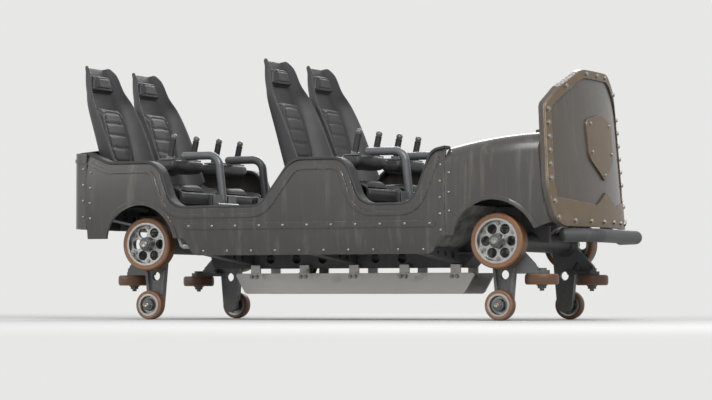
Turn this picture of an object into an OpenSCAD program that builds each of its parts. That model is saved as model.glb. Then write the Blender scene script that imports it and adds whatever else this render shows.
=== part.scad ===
// Lead car of a steel hybrid roller coaster train: two rows of two seats on a
// two-axle chassis. The front points to +X, the floor it stands on is z = 0.

/* [Track fit] */
// Distance between the middles of the two running rails
rail_gauge = 1120; // [1060:5:1180]
// Width of a running rail's top plate
rail_w = 120; // [100:5:140]
// Depth of rail held between the road wheels and the upstop wheels
rail_h = 110; // [90:5:130]
// Running gap between the rail and the guide and upstop wheels
run_gap = 4; // [3:0.5:8]

/* [Wheels] */
// Diameter of a road wheel
road_d = 310; // [290:5:330]
// Width of a road wheel's tread
road_w = 90; // [70:5:100]
// Diameter of a guide wheel, which rolls along the inside of the rail
guide_d = 190; // [170:5:210]
// Width of a guide wheel's tread
guide_w = 60; // [45:5:70]
// Diameter of an upstop wheel, which rolls under the rail
upstop_d = 170; // [150:5:190]
// Width of an upstop wheel's tread
upstop_w = 60; // [45:5:70]
// Thickness of the tread bonded to a road wheel
road_tread_t = 30; // [20:1:36]
// Thickness of the tread bonded to a guide or upstop wheel
small_tread_t = 20; // [14:1:24]
// Diameter of a road wheel's spindle
road_spindle_d = 44; // [38:1:50]
// Diameter of a guide or upstop wheel's spindle
small_spindle_d = 30; // [24:1:34]

/* [Axles] */
// Distance between the front and rear axles
wheelbase = 2200; // [2150:10:2300]
// Diameter of an axle beam
axle_d = 110; // [90:5:120]
// Thickness of a wheel carrier's plate
carrier_t = 28; // [22:1:34]
// Distance from a carrier plate's outer face to the wheel on it
wheel_standoff = 34; // [28:1:42]
// Distance of a guide wheel's spindle from its axle, along the car
guide_lead = 190; // [175:5:215]
// Diameter of a kingpin, about which an axle steers
kingpin_d = 50; // [40:1:60]

/* [Chassis] */
// Width of the central box spine
spine_w = 200; // [180:5:230]
// Depth of the central box spine
spine_h = 110; // [95:5:120]
// Height of the spine's underside between the axles
spine_low_z = 300; // [290:5:320]
// Clear height from an axle beam's top to the spine's underside
bolster_h = 38; // [34:1:48]
// Thickness of a brake fin
fin_t = 14; // [10:1:20]
// Depth of a brake fin below the spine
fin_h = 150; // [110:5:160]
// Radius of the coupling's pin hole
hitch_hole_r = 20; // [16:1:24]

/* [Body] */
// Widest outside width of the body
body_w = 1400; // [1390:5:1460]
// Thickness of the nose cowl and the tail panel
panel_t = 18; // [14:1:24]
// Thickness of the side panels
side_t = 15; // [12:1:21]
// Thickness of the floor plate
floor_t = 16; // [10:1:20]
// Height of the sill that riders step over
sill_z = 640; // [600:5:660]
// Height of the hip fairings beside the seats
hip_z = 905; // [880:5:940]
// Height of the fascia's top above the floor that the car stands on
fascia_top_z = 1400; // [1320:10:1480]
// Widest width of the fascia
fascia_w = 1190; // [1120:10:1220]

/* [Seats] */
// Distance from one row of seats to the next
row_pitch = 1200; // [1160:5:1240]
// Distance from a seat's middle to the car's middle
seat_y = 282; // [276:1:290]
// Width of a seat shell
seat_w = 500; // [470:5:516]
// Height of the seat shell's surface above the floor plate
seat_h = 314; // [300:2:330]
// Length of the seat back above the hip
back_l = 740; // [700:5:780]
// Lean of the seat back from upright, in degrees
back_lean = 16; // [12:1:19]
// Thickness of the seat shell's wall
shell_t = 14; // [10:1:18]
// Thickness of a seat or back pad
pad_t = 48; // [36:1:56]

/* [Lap bars] */
// Diameter of the lap bar's main tube
bar_d = 48; // [42:1:54]
// Width of the lap pad
lap_pad_w = 400; // [360:5:430]
// Thickness of the lap pad
lap_pad_t = 78; // [60:2:84]
// Width of one shin pad
shin_pad_w = 116; // [96:2:124]

/* [Hidden] */
$fn = 48;

// Clearances
spin_gap = 0.06;      // radius, between a spindle and its bore
side_gap = 0.5;       // along a pin, between a turning piece and what holds it
seat_gap = 0.3;       // between two pieces that are bolted or laid face to face
fillet_steps = 5;     // flats in one rounded corner of an outline

// Heights of the running gear
rail_top_z = upstop_d + run_gap + rail_h;
axle_z = rail_top_z + road_d / 2;
upstop_z = upstop_d / 2;
guide_z = rail_top_z - rail_h / 2;
spine_high_z = axle_z + axle_d / 2 + bolster_h;
spine_low_top = spine_low_z + spine_h;
spine_high_top = spine_high_z + spine_h;
floor_top = spine_low_top + floor_t;

// Places across the car
rail_y = rail_gauge / 2;
guide_y = rail_y - rail_w / 2 - run_gap - guide_d / 2;
carrier_y = rail_y - road_w / 2 - wheel_standoff;   // outer face of a carrier plate
nut_t = 20;

// Places along the car
rear_axle_x = -1050;
front_axle_x = rear_axle_x + wheelbase;
front_overhang = 400;             // from the front axle to the fascia
rear_overhang = 470;              // from the rear axle to the outside of the tail panel
seat_x = [rear_axle_x + 150 + row_pitch, rear_axle_x + 150];   // front edges of the rows' seats
nose_x = front_axle_x - 270;      // where the nose cowl begins
fascia_x = front_axle_x + front_overhang;
tail_x = rear_axle_x - rear_overhang;
hitch_x = tail_x - 120;           // middle of the coupling's pin hole
hitch_eye_r = 40;
bumper_r = 38;
bend_swell = 0.4;                 // by which a bent tube is thicker round its bends
front_end = fascia_x + 130;       // front of the bumper
bumper_x = front_end - bumper_r - bend_swell;
rear_end = hitch_x - hitch_eye_r;
mid_x = (front_end + rear_end) / 2;

// Body outline
belt_z = 700;                     // height at which the side panels stand out furthest
panel_bulge_r = 1400;             // radius of the side panels' curve, seen from the front
skirt_z = 370;                    // lower edge between the axles
wheel_skirt_z = 470;              // lower edge beside the wheels
arch_r = road_d / 2 + 70;
lip_h = 6;                        // by which a panel's raised borders stand out from its face
lip_w = 24;                       // width of the raised lip round a wheel arch
face_y = body_w / 2 - lip_h;      // where a side panel's face stands out furthest
tail_wrap = 118;                  // by which the tail panel wraps round along the car
coaming_t = 16;
coaming_w = 92;

seat_z = floor_top + seat_h;
pivot = [150, floor_top + 92];    // lap bar's pivot, from the seat's front edge and from the ground
pivot_pin_r = 14;
lug_t = 12;

function sides() = [["left", 1], ["right", -1]];
function rows() = [["front", 0], ["rear", 1]];
function axle_x(i) = i == 0 ? front_axle_x : rear_axle_x;
function lead(i) = i == 0 ? 1 : -1;

function unit(v) = v / norm(v);
function turn_to(a) = a > 180 ? a - 360 : (a < -180 ? a + 360 : a);

// A closed outline [[x, y, corner radius], ...] with its corners rounded in short flats
function rounded(p, steps = fillet_steps) = [
    for (i = [0:len(p) - 1])
        let (b = [p[i][0], p[i][1]], r = p[i][2],
             a = [p[(i + len(p) - 1) % len(p)][0], p[(i + len(p) - 1) % len(p)][1]],
             c = [p[(i + 1) % len(p)][0], p[(i + 1) % len(p)][1]])
        each (r == 0 ? [b] : corner(a, b, c, r, steps))];
// An open line with its inner corners rounded the same way
function rounded_line(p, steps = fillet_steps) = [
    for (i = [0:len(p) - 1])
        let (b = [p[i][0], p[i][1]])
        each (i == 0 || i == len(p) - 1 || p[i][2] == 0 ? [b]
              : corner([p[i - 1][0], p[i - 1][1]], b, [p[i + 1][0], p[i + 1][1]], p[i][2], steps))];
function corner(a, b, c, r, steps) =
    let (d1 = unit(a - b), d2 = unit(c - b), phi = acos(d1 * d2),
         start = b + d1 * r / tan(phi / 2), end = b + d2 * r / tan(phi / 2),
         mid = b + unit(d1 + d2) * r / sin(phi / 2),
         a0 = atan2(start[1] - mid[1], start[0] - mid[0]),
         sweep = turn_to(atan2(end[1] - mid[1], end[0] - mid[0]) - a0))
    [for (k = [0:steps]) mid + r * [cos(a0 + sweep * k / steps), sin(a0 + sweep * k / steps)]];
// A line moved sideways by d, to its left
function beside(p, d) = [
    for (i = [0:len(p) - 1])
        let (t = unit(p[min(i + 1, len(p) - 1)] - p[max(i - 1, 0)]))
        p[i] + d * [-t[1], t[0]]];
function backwards(p) = [for (i = [len(p) - 1:-1:0]) p[i]];
// A table's rows with k - 1 more between each two, on a smooth curve through all of them
function smoothed(rows, k) = concat(
    [for (i = [0:len(rows) - 2], j = [0:k - 1]) between(rows, i, j / k)], [rows[len(rows) - 1]]);
function between(rows, i, f) =
    let (a = rows[max(i - 1, 0)], b = rows[i], c = rows[i + 1], d = rows[min(i + 2, len(rows) - 1)])
    b + f / 2 * (c - a + f * (2 * a - 5 * b + 4 * c - d + f * (3 * b - a - 3 * c + d)));
// 0 up to f = 0, 1 from f = 1, and a smooth step between them
function eased(f) = let (g = min(max(f, 0), 1)) g * g * (3 - 2 * g);

// Extrudes an outline drawn in X and Z across the car, from y0 to y1
module across(y0, y1) {
    translate([0, y1, 0]) rotate([90, 0, 0]) linear_extrude(y1 - y0) children();
}
// Extrudes an outline drawn in Y and Z along the car, from x0 to x1
module along(x0, x1) {
    translate([x0, 0, 0]) rotate([90, 0, 90]) linear_extrude(x1 - x0) children();
}
module both_sides() {
    children();
    mirror([0, 1, 0]) children();
}
// Two circles and the flat-sided strap round them, in two dimensions
module strap(p, r1, q, r2) {
    d = norm(q - p);
    lean = asin((r1 - r2) / d);
    dir = atan2(q[1] - p[1], q[0] - p[0]);
    n1 = dir + 90 - lean;
    n2 = dir - 90 + lean;
    translate(p) circle(r1);
    translate(q) circle(r2);
    polygon([p + r1 * [cos(n1), sin(n1)], q + r2 * [cos(n1), sin(n1)],
             q + r2 * [cos(n2), sin(n2)], p + r1 * [cos(n2), sin(n2)]]);
}
// A round bar bent along points [x, y], with the same bend radius at each corner; the bends
// are swollen by bend_swell, as a drawn tube's are, and take up the ends of the straights
bend_lap = 4;
module bent_bar(p, r, bend) {
    function cut(i) = (i == 0 || i == len(p) - 1) ? 0
        : bend / tan(acos(unit(p[i - 1] - p[i]) * unit(p[i + 1] - p[i])) / 2) - bend_lap;
    for (i = [0:len(p) - 2]) {
        d = unit(p[i + 1] - p[i]);
        s = p[i] + d * cut(i);
        e = p[i + 1] - d * cut(i + 1);
        translate([s[0], s[1], 0]) rotate([0, 0, atan2(d[1], d[0])]) rotate([0, 90, 0])
            cylinder(h = norm(e - s), r = r);
    }
    for (i = [1:1:len(p) - 2]) {
        d1 = unit(p[i - 1] - p[i]);
        d2 = unit(p[i + 1] - p[i]);
        half = acos(d1 * d2) / 2;
        mid = p[i] + unit(d1 + d2) * bend / sin(half);
        s = p[i] + d1 * bend / tan(half) - mid;
        e = p[i] + d2 * bend / tan(half) - mid;
        a0 = atan2(s[1], s[0]);
        sweep = turn_to(atan2(e[1], e[0]) - a0);
        translate([mid[0], mid[1], 0]) rotate([0, 0, sweep > 0 ? a0 : a0 + sweep])
            rotate_extrude(angle = abs(sweep)) translate([bend, 0]) circle(r + bend_swell);
    }
}
// A skin through sections of 2 m points each: m along one side, then m back along the other
module loft(sections) {
    n = len(sections);
    k = len(sections[0]);
    m = k / 2;
    walls = [for (i = [0:n - 2], j = [0:k - 1])
        let (a = i * k + j, b = i * k + (j + 1) % k)
        each [[a, b, b + k], [a, b + k, a + k]]];
    caps = [for (j = [0:m - 2]) let (o = (n - 1) * k, u = k - 1 - j)
        each [[j, u, u - 1], [j, u - 1, j + 1], [o + j, o + u - 1, o + u], [o + j, o + j + 1, o + u - 1]]];
    polyhedron([for (s = sections) each s], concat(walls, caps), convexity = 8);
}

// Wheels: a turned hub with a bonded tread, on its own axis along Z, centred on its width
module hub(d, w, tread_t, spindle_d, holes) {
    rim_r = d / 2 - tread_t;
    boss_r = spindle_d / 2 + 16;
    rim_t = 12;
    web_t = w * 0.24;
    difference() {
        rotate_extrude($fn = 72) polygon([
            [spindle_d / 2 + spin_gap, -w / 2], [boss_r, -w / 2], [boss_r + 5, -web_t / 2],
            [rim_r - rim_t - 5, -web_t / 2], [rim_r - rim_t, -w / 2], [rim_r, -w / 2], [rim_r, w / 2],
            [rim_r - rim_t, w / 2], [rim_r - rim_t - 5, web_t / 2], [boss_r + 5, web_t / 2],
            [boss_r, w / 2], [spindle_d / 2 + spin_gap, w / 2]]);
        hole_pcr = (boss_r + rim_r - rim_t) / 2;
        if (holes > 0) for (i = [0:holes - 1]) rotate([0, 0, 360 * i / holes])
            translate([hole_pcr, 0, -w]) cylinder(h = 2 * w, r = (rim_r - rim_t - boss_r) / 2 - 9);
    }
}
module tread(d, w, tread_t) {
    crown = 2;    // the middle third stands out by this
    edge = 7;
    rotate_extrude($fn = 96) polygon([
        [d / 2 - tread_t, -w / 2 + 2], [d / 2 - edge - crown, -w / 2], [d / 2 - crown, -w / 2 + edge],
        [d / 2, -w / 6], [d / 2, w / 6], [d / 2 - crown, w / 2 - edge], [d / 2 - edge - crown, w / 2],
        [d / 2 - tread_t, w / 2 - 2]]);
}
// Puts a wheel on its place: kind, row 0 or 1, side 1 or -1
module at_wheel(kind, i, s) {
    y = kind == "guide" ? guide_y : (kind == "road" ? rail_y : carrier_y + wheel_standoff + upstop_w / 2);
    z = kind == "guide" ? guide_z : (kind == "road" ? axle_z : upstop_z);
    x = axle_x(i) + (kind == "guide" ? lead(i) * guide_lead : 0);
    translate([x, s * y, z]) rotate(kind == "guide" ? [0, 0, 0] : [-90 * s, 0, 0]) children();
}
module wheel_piece(piece, i, s) {
    if (piece == "road_hub") at_wheel("road", i, s) color([0.56, 0.56, 0.55])
        hub(road_d, road_w, road_tread_t, road_spindle_d, 6);
    if (piece == "road_tread") at_wheel("road", i, s) color([0.30, 0.16, 0.08])
        tread(road_d, road_w, road_tread_t);
    if (piece == "guide_wheel") at_wheel("guide", i, s) small_wheel(guide_d, guide_w);
    if (piece == "upstop_wheel") at_wheel("upstop", i, s) small_wheel(upstop_d, upstop_w);
}
// A guide or upstop wheel, whose tread is cast on to its hub
module small_wheel(d, w) {
    color([0.30, 0.16, 0.08]) union() {
        hub(d, w, small_tread_t, small_spindle_d, 0);
        tread(d, w, small_tread_t);
    }
}

// A wheel carrier: a plate with a road spindle, an upstop spindle below it, and a shelf
// that reaches along the rail and holds the guide wheel's upright spindle
head_r = 78;          // plate's radius round the road spindle
foot_r = 46;          // and round the upstop spindle
shelf_t = 20;
shelf_r = 44;         // shelf's round end over the guide wheel
carrier_web = 16;     // thickness of the carrier's ribs and gussets
module wheel_carrier(i, s) {
    shelf_z = guide_z + guide_w / 2 + side_gap;
    inner = carrier_y - carrier_t;
    arm_x = lead(i) * guide_lead;
    hole_z = (axle_z + upstop_z) / 2 - 8;
    color([0.20, 0.20, 0.21]) translate([axle_x(i), 0, 0]) mirror([0, s < 0 ? 1 : 0, 0]) {
        difference() {
            union() {
                across(inner, carrier_y) {
                    strap([0, axle_z], head_r, [0, upstop_z], foot_r);
                    strap([0, axle_z - 30], 60, [arm_x * 0.8, shelf_z + shelf_t + 16], 30);
                    translate([min(0, arm_x), shelf_z]) square([abs(arm_x), shelf_t + 20]);
                }
                translate([0, 0, shelf_z]) linear_extrude(shelf_t) {
                    strap([0, inner + carrier_t / 2], carrier_t / 2, [arm_x, guide_y], shelf_r);
                    polygon([[0, inner], [0, carrier_y], [arm_x, carrier_y],
                             [arm_x + lead(i) * 30, guide_y + 20], [arm_x, guide_y - shelf_r]]);
                }
                carrier_ribs(inner, shelf_z, arm_x);
            }
            // lightening hole in the plate between the spindles
            translate([0, 0, hole_z]) rotate([90, 0, 0])
                cylinder(h = 4 * carrier_y, r = 26, center = true);
        }
        pin_across(axle_z, carrier_y, wheel_standoff, road_w, road_spindle_d);
        pin_across(upstop_z, carrier_y, wheel_standoff, upstop_w, small_spindle_d);
        // guide spindle, which hangs from the shelf
        translate([arm_x, guide_y, 0]) {
            nut_z = guide_z - guide_w / 2 - side_gap - nut_t;
            translate([0, 0, nut_z]) cylinder(h = shelf_z + shelf_t - nut_z, d = small_spindle_d);
            translate([0, 0, nut_z]) cylinder(h = nut_t - washer_t, d = small_spindle_d + 22, $fn = 6);
            translate([0, 0, nut_z + nut_t - washer_t]) cylinder(h = washer_t, d = small_spindle_d + 30);
            translate([0, 0, shelf_z + shelf_t]) cylinder(h = 12, d = small_spindle_d + 24);
        }
    }
}
// What stiffens a carrier: two flanges along its outer face's edges, and a gusset on the shelf
module carrier_ribs(inner, shelf_z, arm_x) {
    lean = asin((head_r - foot_r) / (axle_z - upstop_z));
    for (e = [1, -1]) across(carrier_y - 1, carrier_y + carrier_web) polygon([
        for (q = [[upstop_z + 24, foot_r - carrier_web], [upstop_z + 24, foot_r],
                  [axle_z - road_d / 2 + 8, foot_r], [axle_z - road_d / 2 - 8, foot_r - carrier_web]])
            [e * (q[1] / cos(lean) + (q[0] - upstop_z) * tan(lean)), q[0]]]);
    gusset = 58;
    translate([arm_x * 0.42 - carrier_web / 2, 0, 0]) along(0, carrier_web) polygon([
        [inner + 2, shelf_z + shelf_t - 2], [inner - gusset, shelf_z + shelf_t - 2],
        [inner - gusset, shelf_z + shelf_t + 6], [inner + 2, shelf_z + shelf_t + gusset]]);
}
// A spindle that stands out of a carrier plate: its shoulder, journal, washer and nut
washer_t = 6;
module pin_across(z, y, standoff, w, d) {
    sunk = 6;
    translate([0, y - sunk, z]) rotate([-90, 0, 0]) {
        cylinder(h = standoff - side_gap + sunk, d = d + 24);
        cylinder(h = standoff + w + side_gap + nut_t + sunk, d = d);
        translate([0, 0, sunk + standoff + w + side_gap]) cylinder(h = washer_t, d = d + 34);
        translate([0, 0, sunk + standoff + w + side_gap + washer_t])
            cylinder(h = nut_t - washer_t, d = d + 24, $fn = 6);
    }
}
// An axle beam: a thick tube between the carriers, with the kingpin and its turntable on top
module axle_beam(i) {
    inner = carrier_y - carrier_t;
    color([0.16, 0.16, 0.17]) translate([axle_x(i), 0, 0]) {
        translate([0, 0, axle_z]) rotate([90, 0, 0]) cylinder(h = 2 * inner, d = axle_d, center = true);
        both_sides() translate([0, inner, axle_z]) rotate([90, 0, 0])
            cylinder(h = 24, d1 = axle_d + 44, d2 = axle_d + 8);
        translate([0, 0, axle_z]) cylinder(h = axle_d / 2 + bolster_h - seat_gap, d = 170);
        translate([0, 0, axle_z])
            cylinder(h = axle_d / 2 + bolster_h + spine_h + side_gap + 22, d = kingpin_d);
        translate([0, 0, spine_high_top + side_gap]) cylinder(h = 22, d = kingpin_d + 30, $fn = 6);
    }
}

// The chassis: a box spine that drops between the axles, outriggers under the floor
// and a cross-beam behind the fascia
rear_kick_x = rear_axle_x + 190;     // where the spine's top drops behind the rear row's feet
rear_kick_run = 60;
front_kick_x = front_axle_x - 400;   // where it starts to climb to the front axle
front_kick_run = 200;
rear_kick_r = 30;
front_kick_r = 40;
spine_end = 20;                      // from the spine's ends to the tail panel and the fascia
rear_bay = 420;                      // from the rear axle to the first outrigger and the brake fins
front_bay = 440;                     // from the last outrigger to the front axle
outrigger_w = 64;
outrigger_root = 90;                 // outrigger's depth where it is welded to the spine
outrigger_tip = 38;                  // and at the side panel
outrigger_hole_from = 150;           // from its root to its first lightening hole
outrigger_hole_pitch = 105;
gusset_l = 80;                       // of the flat gussets at its root
gusset_t = 12;
function spine_top_line() = [
    [tail_x - spine_end, spine_high_top, 0], [rear_kick_x, spine_high_top, rear_kick_r],
    [rear_kick_x + rear_kick_run, spine_low_top, rear_kick_r], [front_kick_x, spine_low_top, front_kick_r],
    [front_kick_x + front_kick_run, spine_high_top, front_kick_r],
    [fascia_x - spine_end, spine_high_top, 0]];
function spine_bottom_line() = [
    [fascia_x - spine_end, spine_high_z, 0], [front_kick_x + front_kick_run, spine_high_z, front_kick_r],
    [front_kick_x, spine_low_z, front_kick_r], [rear_kick_x - 10, spine_low_z, rear_kick_r],
    [rear_kick_x - 70, spine_high_z, rear_kick_r], [tail_x - spine_end, spine_high_z, 0]];
// A tapered arm out to each side panel, with lightening holes and gussets at its root
module outrigger(x, z_top) {
    reach = panel_inner(z_top - outrigger_tip) - 1;
    root_y = spine_w / 2 - 2;
    slope = (outrigger_root - outrigger_tip) / (reach - root_y);
    both_sides() difference() {
        union() {
            along(x - outrigger_w / 2, x + outrigger_w / 2) polygon([
                [root_y, z_top - outrigger_root], [root_y, z_top],
                [reach, z_top], [reach, z_top - outrigger_tip]]);
            half = outrigger_w / 2;
            translate([x, root_y, z_top - outrigger_tip + 4]) linear_extrude(gusset_t)
                polygon([[-half - gusset_l, 0], [half + gusset_l, 0], [half, gusset_l], [-half, gusset_l]]);
        }
        for (k = [0:2]) {
            y = root_y + outrigger_hole_from + outrigger_hole_pitch * k;
            depth = outrigger_root - slope * (y - root_y);
            translate([x, y, z_top - depth / 2]) rotate([0, 90, 0])
                cylinder(h = 2 * outrigger_w, r = depth / 2 - 14, center = true);
        }
    }
}
cross_beam_l = 130;                  // cross-beam's depth along the car
cross_beam_inset = 90;               // from its ends to the fascia's sides
spine_hole_from = 560;               // from the rear axle to the first hole through the spine's walls
spine_hole_pitch = 170;
spine_holes = 6;
module chassis_frame() {
    color([0.13, 0.13, 0.14]) difference() {
        union() {
            across(-spine_w / 2, spine_w / 2)
                polygon(rounded(concat(spine_top_line(), spine_bottom_line())));
            for (x = [rear_axle_x + rear_bay, (rear_axle_x + front_axle_x) / 2, front_axle_x - front_bay])
                outrigger(x, spine_low_top);
            outrigger(tail_x + tail_wrap + outrigger_w / 2 + 8, spine_high_top);
            // bolsters that take the turntables
            for (i = [0, 1]) translate([axle_x(i), 0, spine_high_z])
                cylinder(h = spine_h - 2, d = spine_w + 24);
            // cross-beam that the fascia is bolted to
            intersection() {
                translate([fascia_x - cross_beam_l, cross_beam_inset - fascia_w / 2, spine_high_z + 10])
                    cube([cross_beam_l + 10, fascia_w - 2 * cross_beam_inset, spine_h - 20]);
                fascia_cylinder(-seat_gap);
            }
            pawl_lugs();
        }
        for (i = [0, 1]) translate([axle_x(i), 0, 0])
            cylinder(h = 3 * spine_high_z, r = kingpin_d / 2 + spin_gap);
        pawl_hole();
        // lightening holes through the spine's walls
        for (k = [0:spine_holes - 1])
            translate([rear_axle_x + spine_hole_from + spine_hole_pitch * k, 0, spine_low_z + spine_h / 2])
                rotate([90, 0, 0]) cylinder(h = spine_w + 20, r = spine_h / 4, center = true);
    }
}

// The rear coupling: a flange on the spine's end with a jaw of two ears, bored for the pin
hitch_ear_t = 26;
hitch_mid_z = spine_high_z + spine_h / 2;
hitch_mouth = 40;                    // height between the ears
hitch_root_r = 74;                   // half the ears' width at the flange
hitch_flange_t = 20;
module rear_coupling() {
    flange_x = tail_x - spine_end - seat_gap;
    low = hitch_mid_z - hitch_mouth / 2 - hitch_ear_t;
    color([0.13, 0.13, 0.14]) difference() {
        union() {
            for (z = [low, hitch_mid_z + hitch_mouth / 2]) translate([0, 0, z])
                linear_extrude(hitch_ear_t) intersection() {
                    strap([tail_x - 10, 0], hitch_root_r, [hitch_x, 0], hitch_eye_r);
                    translate([hitch_x - 100, -100]) square([flange_x - hitch_x + 99, 200]);
                }
            along(flange_x - hitch_flange_t, flange_x)
                translate([4 - spine_w / 2, spine_high_z + 2]) square([spine_w - 8, spine_h - 4]);
        }
        translate([hitch_x, 0, 0]) cylinder(h = 3 * spine_high_z, r = hitch_hole_r);
    }
}

// The anti-rollback pawl, which hangs below the spine and drags along the rack
pawl_lead = 760;      // from the rear axle to the pawl's pin
pawl_x = rear_axle_x + pawl_lead;
pawl_z = spine_low_z - 36;
pawl_l = 230;         // from its pin back to its tip
pawl_h = 96;          // and down to it
pawl_t = 30;
pawl_pin_r = 14;
module pawl_lugs() {
    both_sides() across(pawl_t / 2 + 2, pawl_t / 2 + 2 + lug_t)
        strap([pawl_x, pawl_z], 30, [pawl_x, spine_low_z + 10], 46);
}
module pawl_hole() {
    translate([pawl_x, 0, pawl_z]) rotate([90, 0, 0])
        cylinder(h = 2 * (pawl_t / 2 + 2 + lug_t) + 2, r = pawl_pin_r + spin_gap, center = true);
}
module rollback_pawl() {
    tip = [pawl_x - pawl_l, pawl_z - pawl_h];
    color([0.34, 0.33, 0.32]) {
        across(-pawl_t / 2, pawl_t / 2) {
            strap([pawl_x, pawl_z], 30, [tip[0] + 60, tip[1] + 34], 24);
            polygon([[tip[0] + 60, tip[1] + 56], [tip[0], tip[1] + 30],
                     [tip[0] - 4, tip[1]], [tip[0] + 70, tip[1] + 10]]);
        }
        translate([pawl_x, 0, pawl_z]) rotate([90, 0, 0])
            cylinder(h = 2 * (pawl_t / 2 + 2 + lug_t) + 8, r = pawl_pin_r, center = true);
    }
}

// Brake fins: two long plates on hangers under the spine
fin_y = spine_w / 2 + 38;
fin_bay = 380;        // from the fins' front end to the front axle
fin_slope = 70;       // by which a fin's ends lean out as they rise
fin_top = 30;         // from the spine's underside down to a fin's top edge
hangers = 5;
hanger_end = 60;      // from a fin's lower corners to its first and last hangers
hanger_w = 60;
hanger_t = 14;
hanger_h = 70;        // by which a hanger reaches below the spine
module brake_fins() {
    x0 = rear_axle_x + rear_bay;
    x1 = front_axle_x - fin_bay;
    top = spine_low_z + 4;
    color([0.50, 0.50, 0.49]) both_sides() {
        across(fin_y, fin_y + fin_t) polygon(rounded([
            [x0 - fin_slope, spine_low_z - fin_top, 12], [x0, spine_low_z - fin_h, 30],
            [x1, spine_low_z - fin_h, 30], [x1 + fin_slope, spine_low_z - fin_top, 12]]));
        for (k = [0:hangers - 1]) {
            x = x0 + hanger_end + (x1 - x0 - 2 * hanger_end) * k / (hangers - 1);
            along(x - hanger_w / 2, x + hanger_w / 2) polygon([
                [fin_y, spine_low_z - hanger_h], [fin_y, top + hanger_t], [spine_w / 2, top + hanger_t],
                [spine_w / 2, top], [fin_y - hanger_t, top], [fin_y - hanger_t, spine_low_z - hanger_h]]);
        }
    }
}

// Inner face of a side panel at height z
function panel_sag(z) = panel_bulge_r - sqrt(panel_bulge_r * panel_bulge_r - (z - belt_z) * (z - belt_z));
function panel_inner(z) = face_y - side_t - panel_sag(z);

// The floor: a plate with a toe board in front and a kick board under the rear seats
floor_side_gap = 7;
kick_gap = 2;         // between the sloping boards and the spine's slopes, along the car
module floor_pan() {
    line = rounded_line([
        [rear_kick_x + kick_gap, spine_high_top, 0],
        [rear_kick_x + rear_kick_run + kick_gap, spine_low_top, rear_kick_r],
        [front_kick_x - kick_gap, spine_low_top, front_kick_r],
        [front_kick_x + front_kick_run - kick_gap, spine_high_top, 0]]);
    color([0.24, 0.24, 0.24]) {
        intersection() {
            across(-body_w, body_w) polygon(concat(line, backwards(beside(line, floor_t))));
            bulge_cylinder(-side_t - floor_side_gap);
            mirror([0, 1, 0]) bulge_cylinder(-side_t - floor_side_gap);
        }
        for (i = [0, 1], s = [1, -1]) lap_lugs(i, s);
        // ribs where the riders' shoes rest
        for (x = [seat_x[0] + 270, seat_x[1] + 330], k = [0:3])
            translate([x + 34 * k, 70 - body_w / 2, floor_top - 1]) cube([14, body_w - 140, 6]);
    }
}
// The left panel's face: a big cylinder along the car, grown or shrunk by d
module bulge_cylinder(d) {
    translate([tail_x - 200, face_y - panel_bulge_r, belt_z]) rotate([0, 90, 0])
        cylinder(h = fascia_x - tail_x + 400, r = panel_bulge_r + d, $fn = 180);
}
// What an outline drawn in X and Z cuts from the left panel's face, between two depths
module on_face(d0, d1) {
    intersection() {
        across(body_w / 2 - 120, body_w / 2 + 10) children();
        difference() {
            bulge_cylinder(d1);
            bulge_cylinder(d0);
        }
    }
}

// A side panel's top edge, from the nose to the tail: up over each row's hips from the sills
seam = 2;             // between two body panels that meet
tail_seam_x = tail_x + tail_wrap + seam;
sill_to = 60;         // from a seat's front edge forward to the level sill
hip_from = 40;        // and back to where the hip fairing is at its height
hip_to = 360;         // and back to its end
hip_slope = 200;      // its length down to the next row's sill
function hip_line(x) = [[x + sill_to, sill_z, 120], [x - hip_from, hip_z, 100], [x - hip_to, hip_z, 120]];
function top_line() = rounded_line(concat(
    [[nose_x - seam, hip_z + 45, 0], [nose_x - 80, hip_z + 30, 70], [nose_x - 190, sill_z, 110]],
    hip_line(seat_x[0]), [[seat_x[0] - hip_to - hip_slope, sill_z, 120]],
    hip_line(seat_x[1]), [[tail_seam_x, hip_z + 60, 0]]));
module panel_outline() {
    difference() {
        polygon(concat(top_line(), rounded_line([
            [tail_seam_x, wheel_skirt_z, 0], [rear_axle_x + arch_r + 65, wheel_skirt_z, 40],
            [rear_axle_x + arch_r + 115, skirt_z, 60], [nose_x - 90, skirt_z, 60],
            [nose_x - 40, wheel_skirt_z, 40], [nose_x - seam, wheel_skirt_z, 0]])));
        translate([rear_axle_x, axle_z]) circle(arch_r, $fn = 96);
    }
}
// Each panel carries a raised band below its top edge, a rubbing strip and a lip round the arch
band_from = 34;
band_to = 54;
strip_z = 520;
strip_w = 34;
module side_panel(s) {
    line = top_line();
    lip_r = arch_r + lip_w;
    color([0.20, 0.19, 0.18]) mirror([0, s < 0 ? 1 : 0, 0]) {
        on_face(-side_t, 0) panel_outline();
        on_face(-2, lip_h) intersection() {
            polygon(concat(beside(line, band_from), backwards(beside(line, band_to))));
            translate([tail_seam_x, 0]) square([nose_x - 40 - tail_seam_x, 2 * hip_z]);
        }
        on_face(-2, lip_h) polygon(rounded([
            [rear_axle_x + arch_r + 75, strip_z, 12], [nose_x - 60, strip_z, 12],
            [nose_x - 60, strip_z + strip_w, 12], [rear_axle_x + arch_r + 75, strip_z + strip_w, 12]]));
        on_face(-2, lip_h) intersection() {
            translate([rear_axle_x, axle_z]) difference() {
                circle(lip_r, $fn = 96);
                circle(arch_r, $fn = 96);
            }
            translate([rear_axle_x - lip_r, wheel_skirt_z]) square([2 * lip_r, lip_r]);
        }
    }
}
module coaming(s) {
    line = top_line();
    color([0.11, 0.11, 0.11]) mirror([0, s < 0 ? 1 : 0, 0])
        across(body_w / 2 - coaming_w - 12, body_w / 2 - 12)
            polygon(concat(line, backwards(beside(line, -coaming_t))));
}

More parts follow.
